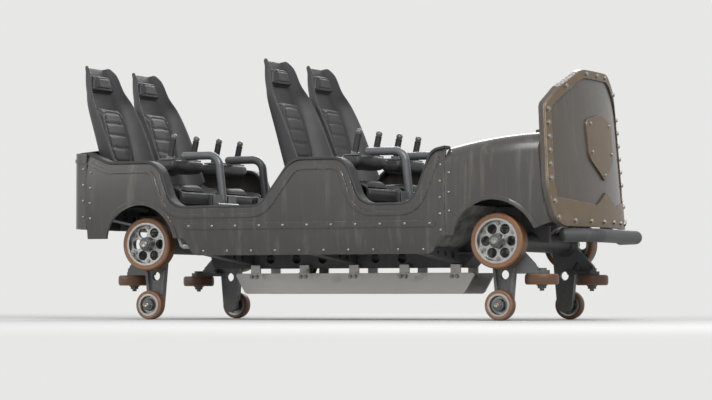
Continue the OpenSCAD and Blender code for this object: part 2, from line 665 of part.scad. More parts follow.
// The tail: a panel that wraps round behind the rear seats
module tail_panel() {
    color([0.20, 0.19, 0.18]) difference() {
        tail_shell();
        translate([tail_x - 100, -spine_w / 2 - 12, 0]) cube([400, spine_w + 24, spine_high_top + 10]);
    }
}
// The tail's wall in plan, from inset d0 to inset d1
tail_corner_r = 110;
module tail_wall(d0, d1) {
    function plan(d, end) = let (y = body_w / 2 - 14 - d)
        rounded([[tail_x + end, -y, 0], [tail_x + end, y, 0],
                 [tail_x + d, y, tail_corner_r - d], [tail_x + d, -y, tail_corner_r - d]], 8);
    translate([0, 0, wheel_skirt_z]) linear_extrude(fascia_top_z) difference() {
        polygon(plan(d0, tail_wrap));
        polygon(plan(d1, tail_wrap + 40));
    }
}
// Its top edge, from right to left, which dips between the riders
function tail_top_line() = rounded_line([
    [-body_w / 2, hip_z + 62, 0], [-seat_y - 90, hip_z + 100, 120], [-seat_y + 60, hip_z + 100, 60],
    [0, hip_z + 40, 60], [seat_y - 60, hip_z + 100, 60], [seat_y + 90, hip_z + 100, 120],
    [body_w / 2, hip_z + 62, 0]]);
module tail_shell() {
    line = tail_top_line();
    low = wheel_skirt_z + 60;
    intersection() {
        tail_wall(0, panel_t);
        along(tail_x - 10, tail_x + 200)
            polygon(concat(line, rounded_line([[body_w / 2, low, 0], [-body_w / 2, low, 0]])));
    }
    // the raised band of the side panels runs on round the tail
    intersection() {
        tail_wall(-lip_h, 2);
        along(tail_x - 10, tail_x + 200)
            polygon(concat(beside(line, -band_from), backwards(beside(line, -band_to))));
    }
}

// The nose cowl: one moulded shell from the front row's toe board to the fascia. Every
// section follows from f, its share of the way from the front row to the fascia.
nose_shoulder_r = 110;
nose_steps = 10;
nose_l = fascia_x + 10 - nose_x;
deck_low_z = hip_z + 66;
deck_rise = 84;
skirt_rise = 96;
hood_rise = 16;       // of the hood's raised middle
function deck_z(f) = deck_low_z + deck_rise * f * (2 - f);
function nose_half(f) = face_y + (fascia_w / 2 - 29 - face_y) * eased(pow(f, 1.6));
// Half of a section, from the skirt up to the middle of the deck, shrunk by t
function nose_half_section(f, t) =
    let (w = nose_half(f) - t, low = wheel_skirt_z + skirt_rise * eased(2 * f - 1), top = deck_z(f) - t,
         r = nose_shoulder_r - t, flat = w - 6 - r, hood = 0.38 * nose_half(f))
    concat([[w - 19 - 13 * f, low], [w - 4, (low + belt_z) / 2 - 20], [w, belt_z],
            [w - 2, (belt_z + top - r) / 2]],
           [for (k = [0:8]) [flat + r * cos(11.25 * k), top - 14 - r + r * sin(11.25 * k)]],
           [for (u = [1, 0.8, 0.6, 0.4, 0.2, 0]) let (y = hood * u)
               [y, top - 14 * pow(y / flat, 2) + hood_rise * sin(180 * f) * eased(1.25 * (1 - u))]]);
function nose_section(f, t) =
    let (half = nose_half_section(f, t))
    concat(half, [for (k = [len(half) - 2:-1:0]) [-half[k][0], half[k][1]]]);
function nose_rows() = [for (k = [0:nose_steps]) let (f = k / nose_steps)
    [for (p = concat(nose_section(f, 0), backwards(nose_section(f, panel_t))))
        [nose_x + f * nose_l, p[0], p[1]]]];
module nose_cowl() {
    color([0.20, 0.19, 0.18]) difference() {
        intersection() {
            loft(nose_rows());
            fascia_cylinder(-seat_gap);
        }
        translate([front_axle_x, 0, axle_z]) rotate([90, 0, 0])
            cylinder(h = 2 * body_w, r = arch_r, center = true, $fn = 96);
    }
}
// The dash closes the nose cowl towards the front row
dash_low_z = spine_high_top - 22;
dash_roll_r = 26;
module dash_panel() {
    half = nose_section(0, panel_t + 2);
    color([0.15, 0.15, 0.15]) {
        along(nose_x + 4, nose_x + 4 + panel_t) polygon(concat(
            [[-half[0][0] + 30, dash_low_z], [half[0][0] - 30, dash_low_z]],
            [for (p = half) if (p[1] > dash_low_z) p]));
        // padded roll along the top of the dash
        translate([nose_x - 14, 0, deck_low_z - panel_t - 18 - dash_roll_r]) rotate([90, 0, 0])
            cylinder(h = 2 * (face_y - 124), r = dash_roll_r, center = true);
    }
}

// The fascia: a tall shield, curved in plan, that leans back over the nose
fascia_r = 1500;
fascia_t = 26;
fascia_lean = 5;
fascia_foot_z = 520;
fascia_wide_z = fascia_foot_z + 220;   // where it is widest
fascia_border = 46;
fascia_raise = 12;                     // by which its frame and shield stand out
shield_w = 400;
shield_top_z = fascia_top_z - 240;
shield_h = 380;
stay_y = 250;                          // of the plates behind it, from the car's middle
stay_t = 12;
function fascia_outline(inset) = rounded([
    for (q = [ // across, up, corner radius
        [fascia_w / 2 - 50 - inset, fascia_foot_z + inset, 90 - inset],
        [fascia_w / 2 - inset, fascia_wide_z, 180],
        [fascia_w / 2 - 26 - inset, fascia_top_z - 210 - inset * 0.3, 60],
        [fascia_w / 2 - 150 - inset * 0.6, fascia_top_z - 110 - inset, 70],
        [210, fascia_top_z - inset, 200]]) q,
    for (q = [
        [210, fascia_top_z - inset, 200],
        [fascia_w / 2 - 150 - inset * 0.6, fascia_top_z - 110 - inset, 70],
        [fascia_w / 2 - 26 - inset, fascia_top_z - 210 - inset * 0.3, 60],
        [fascia_w / 2 - inset, fascia_wide_z, 180],
        [fascia_w / 2 - 50 - inset, fascia_foot_z + inset, 90 - inset]]) [-q[0], q[1], q[2]]], 8);
// The fascia's back: a big upright cylinder that leans back, grown or shrunk by d
module fascia_cylinder(d) {
    translate([fascia_x - fascia_r, 0, fascia_foot_z]) rotate([0, -fascia_lean, 0]) translate([0, 0, -160])
        cylinder(h = fascia_top_z - fascia_foot_z + 400, r = fascia_r + d, $fn = 180);
}
module fascia_wall(d0, d1) {
    difference() {
        fascia_cylinder(d1);
        fascia_cylinder(d0);
    }
}
// The shield itself, with two plates behind it that stand on the nose
module fascia() {
    color([0.17, 0.16, 0.15]) {
        intersection() {
            along(fascia_x - 400, fascia_x + 200) polygon(fascia_outline(0));
            fascia_wall(0, fascia_t);
        }
        both_sides() intersection() {
            across(stay_y - stay_t / 2, stay_y + stay_t / 2) fascia_stay();
            fascia_cylinder(fascia_t / 4);
        }
    }
}
module fascia_stay() {
    reach = 300;
    foot = [for (x = [fascia_x - reach, fascia_x - reach / 2, fascia_x + 40])
        [x, deck_z((x - nose_x) / nose_l) - 2]];
    top = fascia_top_z - 150;
    difference() {
        polygon(concat(foot, [[fascia_x + 40, top], [fascia_x - 105, top]],
            [for (k = [1:5]) let (a = 90 * k / 6)
                [fascia_x - 105 - (reach - 105) * (1 - cos(a)), top - (top - foot[0][1] - 30) * sin(a)]],
            [[foot[0][0], foot[0][1] + 30]]));
        translate([fascia_x - 105, foot[1][1] + 75]) circle(34);
    }
}
// A raised frame round the fascia, a chin plate across its foot and a blank shield in its middle
module fascia_frame() {
    color([0.30, 0.28, 0.25]) intersection() {
        along(fascia_x - 400, fascia_x + 200) {
            difference() {
                polygon(fascia_outline(0));
                polygon(fascia_outline(fascia_border));
            }
            chin_half = fascia_w / 2 - fascia_border;
            intersection() {
                polygon(fascia_outline(fascia_border / 2));
                polygon(rounded([[-chin_half, fascia_foot_z, 0], [chin_half, fascia_foot_z, 0],
                    [chin_half, fascia_wide_z - 60, 30], [150, fascia_wide_z - 100, 90],
                    [0, fascia_wide_z - 20, 20], [-150, fascia_wide_z - 100, 90],
                    [-chin_half, fascia_wide_z - 60, 30]]));
            }
            polygon(rounded([
                [-shield_w / 2, shield_top_z - 40, 40], [0, shield_top_z, 120],
                [shield_w / 2, shield_top_z - 40, 40],
                [shield_w / 2 - 10, shield_top_z - 0.68 * shield_h, 80], [0, shield_top_z - shield_h, 30],
                [10 - shield_w / 2, shield_top_z - 0.68 * shield_h, 80]]));
        }
        fascia_wall(fascia_t + seat_gap, fascia_t + fascia_raise);
    }
}
// The front bumper: a bent tube on two brackets
bumper_z = spine_high_z - 62;
bumper_half = fascia_w / 2 - 125;     // out to its swept-back ends
bumper_flat = bumper_half - 140;
bumper_bend = 120;
bracket_y = 160;
bracket_t = 20;
module front_bumper() {
    color([0.12, 0.12, 0.12]) {
        translate([0, 0, bumper_z]) bent_bar([
            [fascia_x - 60, -bumper_half], [bumper_x, -bumper_flat], [bumper_x, bumper_flat],
            [fascia_x - 60, bumper_half]], bumper_r, bumper_bend);
        both_sides() across(bracket_y - bracket_t / 2, bracket_y + bracket_t / 2) polygon([
            [fascia_x - 70, spine_high_z + 10], [fascia_x - 24, spine_high_z + 10],
            [fascia_x - 20, fascia_foot_z - 8],
            [bumper_x, bumper_z + 20], [bumper_x, bumper_z - 20], [bumper_x - 30, bumper_z - 20],
            [fascia_x - 70, spine_high_z - 60]]);
    }
}

// Seat shells: one skin through sections along the seat's middle line
function seat_base() = [ // along from the front edge, above the seat datum, inset, bolster
    [18, -58, 40, 6], [22, -14, 30, 12], [-8, 10, 16, 24], [-180, 2, 6, 42], [-350, -14, 2, 84],
    [-438, -4, 4, 118], [-482, 50, 8, 128]];
function seat_back_rows() = [ // share of the back's length, forward of its line, inset, bolster
    [0.14, -3, 10, 118], [0.42, 0, 8, 96], [0.66, -2, 18, 70],
    [0.80, 0, 62, 50], [0.93, 8, 96, 40], [1.0, 4, 126, 24]];
hip_x = -482;
hip_rise = 50;
// The shell's sections: along, up, half width, bolster; seat_fine of them for each row above
seat_fine = 2;
function seat_line() = smoothed(concat(
    [for (q = seat_base()) [q[0], seat_z + q[1], seat_w / 2 - q[2], q[3]]],
    [for (q = seat_back_rows())
        [hip_x - sin(back_lean) * q[0] * back_l + cos(back_lean) * q[1],
         seat_z + hip_rise + cos(back_lean) * q[0] * back_l + sin(back_lean) * q[1],
         seat_w / 2 - q[2], q[3]]]),
    seat_fine);
function seat_normal(line, i) =
    let (t = unit([line[min(i + 1, len(line) - 1)][0] - line[max(i - 1, 0)][0],
                   line[min(i + 1, len(line) - 1)][1] - line[max(i - 1, 0)][1]]))
    [t[1], -t[0]];
// Across one section: [across, out of the surface]; flat in the middle, rising to bolster b
function bucket(w, b) = [
    for (u = [1, 0.97, 0.92, 0.85, 0.77, 0.67, 0.3, -0.3, -0.67, -0.77, -0.85, -0.92, -0.97, -1])
        [w * u, b * pow(max(abs(u) - 0.6, 0) / 0.4, 2.6)]];
module seat_shell(i, s) {
    line = seat_line();
    color([0.10, 0.10, 0.11]) translate([seat_x[i], s * seat_y, 0])
        loft([for (k = [0:len(line) - 1])
            let (q = line[k], n = seat_normal(line, k),
                 inner = bucket(q[2], q[3]), outer = beside(inner, shell_t))
            [for (p = concat(inner, backwards(outer))) [q[0] + n[0] * p[1], p[0], q[1] + n[1] * p[1]]]]);
}
// A pad lies on the shell between two rows of its tables, t thick, and thins towards its ends
module pad(i, s, first, last, t, trim) {
    line = seat_line();
    from = first * seat_fine;
    to = last * seat_fine;
    translate([seat_x[i], s * seat_y, 0])
        loft([for (k = [from:to])
            let (q = line[k], n = seat_normal(line, k), w = q[2] - trim,
                 h = t * (1 - 0.45 * pow(abs(2 * (k - from) / (to - from) - 1), 4)),
                 low = [[w, 2.2 + seat_gap], [0, seat_gap], [-w, 2.2 + seat_gap]],
                 top = [[w - 4, h * 0.6], [w - 22, h], [0, h - 4], [22 - w, h], [4 - w, h * 0.6]])
            [for (p = concat([low[0], (low[0] + low[1]) / 2, low[1], (low[1] + low[2]) / 2, low[2]],
                             backwards(top))) [q[0] + n[0] * p[1], p[0], q[1] + n[1] * p[1]]]]);
}
back_trim = 78;       // from the shell's edge to the pads on the seat and the back
head_trim = 60;
module seat_pads(i) {
    color([0.07, 0.07, 0.08]) for (s = [1, -1]) {
        pad(i, s, 2, 4, pad_t, back_trim);
        pad(i, s, 7, 9, pad_t, back_trim);
        pad(i, s, 10, 11, pad_t * 0.8, head_trim);
    }
}

// The frame under and behind one row of seats: two cross-beams on a pedestal, two rails
// along each shell, which it is bolted to, and a tube that ties the rails together at the top
rail_t = 28;
rail_first = 3 * seat_fine;           // seat sections that the rails follow
rail_last = 9 * seat_fine;
beam = 50;
pedestal_from = -420;
pedestal_l = 370;
module seat_frame(i) {
    base = i == 0 ? floor_top : spine_high_top;
    beam_top = seat_z - shell_t - 17;
    line = seat_line();
    tie_r = 16;
    tie = [line[rail_last][0], line[rail_last][1]] - (shell_t + 4 + tie_r) * seat_normal(line, rail_last);
    color([0.15, 0.15, 0.16]) translate([seat_x[i], 0, 0]) {
        for (x = [-70, -400]) translate([x - beam / 2, -seat_y - 190, beam_top - beam])
            cube([beam, 2 * seat_y + 380, beam]);
        both_sides() difference() {
            translate([pedestal_from, spine_w / 2 - 24, base])
                cube([pedestal_l, 16, beam_top - beam - base + 10]);
            depth = beam_top - beam - base;
            for (k = [1:3]) translate([pedestal_from + pedestal_l * k / 4, 0, base + depth / 2])
                rotate([90, 0, 0]) cylinder(h = 2 * spine_w, r = depth * 0.22, center = true);
        }
        for (s = [1, -1]) translate([0, s * seat_y, 0])
            both_sides() across(26, 54) polygon(seat_rail_outline());
        translate([tie[0], 0, tie[1]]) rotate([90, 0, 0])
            cylinder(h = 2 * seat_y + 150, r = tie_r, center = true);
    }
}
function seat_rail_outline() =
    let (line = [for (q = seat_line()) [q[0], q[1]]],
         outer = [for (k = [rail_first:rail_last])
             let (n = seat_normal(line, k)) line[k] - (shell_t + seat_gap) * n],
         back = [for (k = [rail_first:rail_last])
             let (n = seat_normal(line, k)) line[k] - (shell_t + rail_t) * n])
    concat(outer, backwards(back));

// A lap bar: a bent tube up between the knees, a lap plate with two grips, and a shin plate pair
lap_z = seat_z + 226;
bar_knee = [38, 180];         // bar's first bend, ahead of its pivot and above it
bar_crest = 6;                // its second bend, ahead of its pivot
bar_end = -70;                // its end over the lap plate, from the seat's front edge
bar_bend_r = 70;
bar_hub_w = 64;
bar_hub_r = 34;
grip_x = -92;
grip_inset = 62;              // from a lap pad's end to a grip
grip_l = 132;
grip_r = 15;
grip_lean = 12;
shin_y = 92;                  // from the bar to the middle of a shin pad
shin_x = pivot[0] + 92;
shin_z = pivot[1] + 150;
shin_h = 120;                 // height of a shin pad's plate
lap_plate_t = 8;
lap_plate_l = 100;
lap_plate_inset = 30;         // from a lap pad's end to the plate's
lap_plate_z = lap_z - bar_d / 2 + 4;      // top of the lap plate
function bar_line() = [pivot, pivot + bar_knee, [pivot[0] + bar_crest, lap_z], [bar_end, lap_z]];
module lap_bar(i, s) {
    color([0.22, 0.22, 0.23]) translate([seat_x[i], s * seat_y, 0]) {
        rotate([90, 0, 0]) bent_bar(bar_line(), bar_d / 2, bar_bend_r);
        translate([bar_end, 0, lap_z]) sphere(bar_d / 2);
        translate([pivot[0], 0, pivot[1]]) rotate([90, 0, 0]) {
            cylinder(h = bar_hub_w, r = bar_hub_r, center = true);
            cylinder(h = bar_hub_w + 2 * lug_t + 8, r = pivot_pin_r, center = true);
        }
        translate([bar_end - lap_plate_l + 20, lap_plate_inset - lap_pad_w / 2, lap_plate_z - lap_plate_t])
            cube([lap_plate_l, lap_pad_w - 2 * lap_plate_inset, lap_plate_t]);
        both_sides() translate([grip_x, lap_pad_w / 2 - grip_inset, lap_plate_z - 2])
            rotate([0, grip_lean, 0]) {
                cylinder(h = grip_l, r = grip_r);
                translate([0, 0, grip_l]) sphere(grip_r + 4);
                cylinder(h = 14, r = grip_r + 11);
            }
        // cross tube and plates for the shin pads
        translate([shin_x - 26, 0, shin_z]) rotate([90, 0, 0])
            cylinder(h = 2 * shin_y + 66, r = 14, center = true);
        both_sides() across(shin_y - shin_pad_w / 2 + 10, shin_y + shin_pad_w / 2 - 10) polygon([
            for (q = [[-46, 1], [-40, 1], [-34, -1], [-40, -1]])
                [shin_x + q[0], shin_z + q[1] * shin_h / 2]]);
    }
}
module lap_pads(i, s) {
    low = lap_plate_z - lap_plate_t;
    color([0.06, 0.06, 0.07]) translate([seat_x[i], s * seat_y, 0]) {
        across(-lap_pad_w / 2, lap_pad_w / 2) polygon(rounded([
            [-172, low, 12], [-34, low, 12], [-26, low - lap_pad_t * 0.55, 30], [-60, low - lap_pad_t, 30],
            [-150, low - lap_pad_t, 34], [-182, low - lap_pad_t * 0.5, 24]]));
        both_sides() across(shin_y - shin_pad_w / 2, shin_y + shin_pad_w / 2) polygon(rounded([
            for (q = [[-46.3, 1, 6], [-40.3, -1, 6], [-78, -1, 18], [-84, 1, 18]])
                [shin_x + q[0], shin_z + q[1] * (shin_h / 2 + 6), q[2]]]));
    }
}
// Lugs on the floor that hold a lap bar's pin
module lap_lugs(i, s) {
    translate([seat_x[i], s * seat_y, 0]) difference() {
        both_sides() across(bar_hub_w / 2 + side_gap, bar_hub_w / 2 + side_gap + lug_t)
            polygon(rounded([[pivot[0] - 70, floor_top, 0], [pivot[0] + 70, floor_top, 0],
                             [pivot[0] + 30, pivot[1] + 34, 24], [pivot[0] - 30, pivot[1] + 34, 24]]));
        translate([pivot[0], 0, pivot[1]]) rotate([90, 0, 0])
            cylinder(h = 200, r = pivot_pin_r + spin_gap, center = true);
    }
}
// Everything is centred on the car's length
module placed() {
    translate([-mid_x, 0, 0]) children();
}
placed() {
    chassis_frame();
    rear_coupling();
    brake_fins();
    floor_pan();
    side_panel(1);  // side_panel_left
    side_panel(-1);  // side_panel_right
    coaming(1);  // coaming_left
    coaming(-1);  // coaming_right
    nose_cowl();
    dash_panel();
    fascia();
    fascia_frame();
    tail_panel();
    front_bumper();
    seat_frame(0);  // seat_frame_front
    seat_frame(1);  // seat_frame_rear
    rollback_pawl();
    for (r = rows()) {
        seat_pads(r[1]);
        axle_beam(r[1]);
        for (s = sides()) {
            seat_shell(r[1], s[1]);
            lap_bar(r[1], s[1]);
            lap_pads(r[1], s[1]);
            wheel_carrier(r[1], s[1]);
            for (piece = ["road_hub", "road_tread", "guide_wheel", "upstop_wheel"])
                wheel_piece(piece, r[1], s[1]);
        }
    }
}
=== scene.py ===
"""The lead car of a roller coaster train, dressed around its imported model.

Everything is in metres, in the car's own frame: +X to the front, +Y to its left, the floor at z = 0.
"""

import math

import bmesh
import bpy
import numpy as np
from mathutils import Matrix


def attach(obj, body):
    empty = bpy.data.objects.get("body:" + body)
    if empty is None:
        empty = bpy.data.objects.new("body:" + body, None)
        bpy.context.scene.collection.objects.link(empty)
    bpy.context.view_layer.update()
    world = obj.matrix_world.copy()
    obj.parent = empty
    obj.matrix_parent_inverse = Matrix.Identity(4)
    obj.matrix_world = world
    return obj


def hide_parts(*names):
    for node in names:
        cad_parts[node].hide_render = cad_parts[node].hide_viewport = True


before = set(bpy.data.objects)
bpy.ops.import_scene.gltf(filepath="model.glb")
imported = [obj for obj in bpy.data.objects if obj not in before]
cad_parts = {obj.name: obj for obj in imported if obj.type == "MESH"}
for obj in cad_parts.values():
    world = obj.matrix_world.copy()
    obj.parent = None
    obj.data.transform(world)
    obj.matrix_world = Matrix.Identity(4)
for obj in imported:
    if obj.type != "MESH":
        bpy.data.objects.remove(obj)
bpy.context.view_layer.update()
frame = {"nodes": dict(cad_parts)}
nodes = frame["nodes"]
rows = ("front", "rear")
sides = {"left": 1, "right": -1}


# Stage and camera
# A pale studio floor under a pale backdrop, a broad soft lamp over the car's front right corner
# and two weaker ones, and a long lens at floor level, which looks up at the car as the photo does.
view_turn = math.radians(25)      # from square on to the right side, towards the front
lens_distance = 16.0
lens_height = 0.12
aim_point = np.array([0.02, 0.0, 0.70])


def place(name, data):
    """Puts a mesh, lamp or camera in the scene as an object at the origin."""
    thing = bpy.data.objects.new(name, data)
    bpy.context.scene.collection.objects.link(thing)
    return thing


class Value:
    """A shader socket to calculate with: each operator adds the Math node of its name."""

    def __init__(self, nodes, socket):
        self.nodes = nodes
        self.socket = socket

    def math(self, operation, *others):
        return self.nodes.node("ShaderNodeMath", {"operation": operation}, (self, *others))

    def __add__(self, other):
        return self.math("ADD", other)

    def __mul__(self, other):
        return self.math("MULTIPLY", other)

    def __sub__(self, other):
        return self.math("SUBTRACT", other)

    def __rsub__(self, other):
        return self.nodes.node("ShaderNodeMath", {"operation": "SUBTRACT"}, (other, self))

    def __pow__(self, other):
        return self.math("POWER", other)

    __radd__ = __add__
    __rmul__ = __mul__

    def above(self, low, high):
        """0 below low, 1 above high, and a smooth step between them."""
        return self.nodes.node("ShaderNodeMapRange", {"interpolation_type": "SMOOTHSTEP"},
                               {"Value": self, "From Min": low, "From Max": high})


class Nodes:
    """The node tree of a material or of the world."""

    def __init__(self, owner):
        owner.use_nodes = True
        self.tree = owner.node_tree

    def node(self, kind, settings, values, output=0):
        """A node of this kind, with its settings made first and then its sockets filled."""
        made = self.tree.nodes.new(kind)
        for name, setting in settings.items():
            setattr(made, name, setting)
        for socket, value in values.items() if isinstance(values, dict) else enumerate(values):
            self.plug(made.inputs[socket], value)
        return Value(self, made.outputs[output])

    def vector(self, operation, *values):
        """Vector Math: a vector, or a number where the operation is a length or a dot product."""
        output = "Value" if operation in ("LENGTH", "DOT_PRODUCT") else "Vector"
        return self.node("ShaderNodeVectorMath", {"operation": operation}, values, output)

    def plug(self, socket, value):
        if isinstance(value, Value):
            self.tree.links.new(value.socket, socket)
        else:
            socket.default_value = value

    def seen_directly(self):
        """1 for what the camera, a reflection or a clear surface shows, and 0 for what lights the car."""
        rays = [self.node("ShaderNodeLightPath", {}, {}, f"Is {kind} Ray")
                for kind in ("Camera", "Glossy", "Transmission")]
        return sum(rays).math("MINIMUM", 1.0)

    def either(self, factor, first, second, out):
        """Mixes two shaders by a factor into the output node."""
        self.plug(out.inputs["Surface"], self.node("ShaderNodeMixShader", {}, (factor, first, second)))


class Finish(Nodes):
    """One material: its shader, and the nodes that vary it over the surface."""

    def __init__(self, name, colour, roughness, metallic=0.0, coat=0.0):
        self.material = bpy.data.materials.new(name)
        super().__init__(self.material)
        self.shader = self.tree.nodes["Principled BSDF"]
        constants = {"Base Color": (*colour, 1), "Roughness": roughness, "Metallic": metallic,
                     "Coat Weight": coat, "Coat Roughness": 0.18}
        for socket, value in constants.items():
            self.shader.inputs[socket].default_value = value
        self.point = self.node("ShaderNodeTexCoord", {}, {}, "Object")

    def scaled(self, scale, stretch=(1, 1, 1)):
        """Object coordinates times scale, and times stretch along each axis."""
        size = tuple(scale * s for s in stretch)
        return self.node("ShaderNodeMapping", {}, {"Vector": self.point, "Scale": size})

    def noise(self, scale, detail=4.0, rough=0.55, stretch=(1, 1, 1)):
        return self.node("ShaderNodeTexNoise", {}, {"Vector": self.scaled(scale, stretch), "Scale": 1.0,
                                                    "Detail": detail, "Roughness": rough})

    def cells(self, scale):
        """Distance to the nearest of random points, for grain."""
        return self.node("ShaderNodeTexVoronoi", {}, {"Vector": self.scaled(scale), "Scale": 1.0})

    def along(self, axis):
        """One of the object coordinates, in metres."""
        return self.node("ShaderNodeSeparateXYZ", {}, {"Vector": self.point}, axis)

    def facing(self, axis):
        """The surface normal's share along an axis."""
        normal = self.node("ShaderNodeNewGeometry", {}, {}, "Normal")
        return self.node("ShaderNodeSeparateXYZ", {}, {"Vector": normal}, axis)

    def mix(self, mask, first, second):
        """The colour first where mask is 0, and second where it is 1."""
        return self.node("ShaderNodeMix", {"data_type": "RGBA"}, {0: mask, 6: first, 7: second}, 2)

    def rounded_normal(self, width):
        return self.node("ShaderNodeBevel", {"samples": 4}, {"Radius": width})

    def edges(self, width, low=0.04, high=0.22):
        """1 along sharp edges, where the normal rounded over width departs from the true one."""
        true = self.node("ShaderNodeNewGeometry", {}, {}, "Normal")
        return (1.0 - self.vector("DOT_PRODUCT", self.rounded_normal(width), true)).above(low, high)

    def bump(self, height, distance, strength=1.0, round_edges=0.0):
        values = {"Height": height, "Distance": distance, "Strength": strength}
        if round_edges:
            values["Normal"] = self.rounded_normal(round_edges)
        self.plug(self.shader.inputs["Normal"], self.node("ShaderNodeBump", {}, values))
        return self

    def set(self, **sockets):
        """Plugs values into the shader's colour, roughness and metallic."""
        names = {"colour": "Base Color", "roughness": "Roughness", "metallic": "Metallic"}
        for name, value in sockets.items():
            self.plug(self.shader.inputs[names[name]], value)
        return self


backdrop_colour = (0.80, 0.80, 0.79, 1)
floor_mesh = bpy.data.meshes.new("studio_floor")
floor_mesh.from_pydata([(-60, -60, 0), (60, -60, 0), (60, 60, 0), (-60, 60, 0)], [], [(0, 1, 2, 3)])
floor_paint = Finish("studio_floor", (0.56, 0.56, 0.55), 0.85)
floor_paint.shader.inputs["Specular IOR Level"].default_value = 0.2
floor_mesh.materials.append(floor_paint.material)
place("studio_floor", floor_mesh)
# away from the car the floor fades to the backdrop's colour, so that no horizon shows
away = floor_paint.vector("LENGTH", floor_paint.point)
fade = floor_paint.node("ShaderNodeMapRange", {"interpolation_type": "SMOOTHERSTEP"},
                        {"Value": away, "From Min": 2.2, "From Max": 9.0})
far_floor = floor_paint.node("ShaderNodeEmission", {}, {"Color": backdrop_colour})
near_floor = Value(floor_paint, floor_paint.shader.outputs[0])
floor_paint.either(fade * floor_paint.seen_directly(), near_floor, far_floor,
                   floor_paint.tree.nodes["Material Output"])

world = bpy.data.worlds.new("studio")
bpy.context.scene.world = world
sky = Nodes(world)
sky.tree.nodes.clear()
ambient = sky.node("ShaderNodeBackground", {}, {"Color": (0.95, 0.97, 1.0, 1), "Strength": 0.55})
backdrop = sky.node("ShaderNodeBackground", {}, {"Color": backdrop_colour})
sky.either(sky.seen_directly(), ambient, backdrop, sky.tree.nodes.new("ShaderNodeOutputWorld"))


def soft_lamp(name, spot, aim, size, power):
    """A square lamp at spot that faces the point aim."""
    lamp = bpy.data.lights.new(name, "AREA")
    lamp.shape = "SQUARE"
    lamp.size = size
    lamp.energy = power
    thing = place(name, lamp)
    toward = np.array(aim) - np.array(spot)
    thing.location = spot
    thing.rotation_euler = (math.acos(-toward[2] / np.linalg.norm(toward)), 0,
                            math.atan2(toward[1], toward[0]) - math.pi / 2)


soft_lamp("key_lamp", (4.5, -5.5, 6.0), (0.2, 0, 0.7), 4.5, 620)
soft_lamp("side_lamp", (-6.5, -5.0, 3.5), (-0.3, 0, 0.7), 3.5, 200)
soft_lamp("back_lamp", (-2.0, 7.0, 5.0), (0, 0, 0.8), 4.0, 330)

camera_data = bpy.data.cameras.new("camera")
camera_data.lens = 138
camera_data.clip_end = 200
camera = place("camera", camera_data)
camera.location = (aim_point[0] + lens_distance * math.sin(view_turn),
                   -lens_distance * math.cos(view_turn), lens_height)
camera.rotation_euler = (math.pi / 2 + math.atan2(aim_point[2] - lens_height, lens_distance), 0, view_turn)
bpy.context.scene.camera = camera
bpy.context.scene.view_settings.view_transform = "Standard"


# Chassis
# A welded steel box spine that drops between the axles, with outriggers under the floor and a
# seat frame for each row, in dark grey paint that is dusty low down and chipped at its edges.
def shade(colour, factor):
    """A colour made lighter or darker, with its alpha."""
    return (*(factor * c for c in colour), 1)


dust = (0.20, 0.18, 0.155, 1)
bare_steel = (0.30, 0.28, 0.26, 1)


def painted(name, colour, roughness=0.5, coat=0.0, dust_top=0.75, chip=bare_steel):
    """Paint on metal: mottled, dusty below dust_top, streaked by rain, and chipped along its edges."""
    paint = Finish(name, colour, roughness, coat=coat)
    broad = paint.noise(3.5)
    fine = paint.noise(60.0, 6.0, 0.65)
    mottled = paint.mix(broad, shade(colour, 0.78), shade(colour, 1.22))
    settled = (paint.along("Z") + broad * 0.5).above(dust_top, 0.0) * fine.above(0.30, 0.72) * 0.65
    runs = paint.noise(1.0, 5.0, 0.62, (24.0, 24.0, 1.5)).above(0.50, 0.74) * 0.24
    grimy = (settled + runs).math("MINIMUM", 0.8)
    chips = paint.edges(0.004) * paint.noise(38.0, 5.0, 0.7).above(0.47, 0.57)
    paint.set(colour=paint.mix(chips, paint.mix(grimy, mottled, dust), chip), metallic=chips * 0.8,
              roughness=roughness + grimy * 0.35 + (fine - 0.5) * 0.18 - chips * 0.12)
    return paint.bump(fine, 0.0012, 0.35, round_edges=0.003).material


def dress(material, *names):
    """Gives CAD nodes their material."""
    for name in names:
        nodes[name].data.materials.clear()
        nodes[name].data.materials.append(material)


def piece(name, points, faces, body, slot, material, smooth=True):
    """A new piece with these points and faces, which rides on a body and takes the given material. Its slot is not
    used.
    """
    mesh = bpy.data.meshes.new(name)
    mesh.from_pydata(np.asarray(points).tolist(), [], [list(map(int, face)) for face in faces])
    mesh.materials.append(material)
    if smooth:
        mesh.shade_smooth()
        mesh.set_sharp_from_angle(angle=math.radians(42))
    thing = place(name, mesh)
    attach(thing, body)
    return thing


def grid_faces(count_u, count_v, closed=False):
    """Quads of a grid of count_u x count_v points; closed joins each row's end to its start."""
    u = np.arange(count_u - 1)[:, None] * count_v
    v = np.arange(count_v if closed else count_v - 1)[None, :]
    w = (v + 1) % count_v
    return np.stack([u + v, u + w, u + count_v + w, u + count_v + v], -1).reshape(-1, 4).tolist()


def joined(parts):
    """The points and faces of several parts as one mesh."""
    points, faces, start = [], [], 0
    for part_points, part_faces in parts:
        points.append(part_points)
        faces += [[start + k for k in face] for face in part_faces]
        start += len(part_points)
    return np.concatenate(points), faces


def basis(axis):
    """A unit vector along axis and two across it, right-handed."""
    up = np.array(axis, float) / np.linalg.norm(axis)
    side = np.cross(up, (0, 0, 1) if abs(up[2]) < 0.9 else (1, 0, 0))
    side = side / np.linalg.norm(side)
    return up, side, np.cross(up, side)


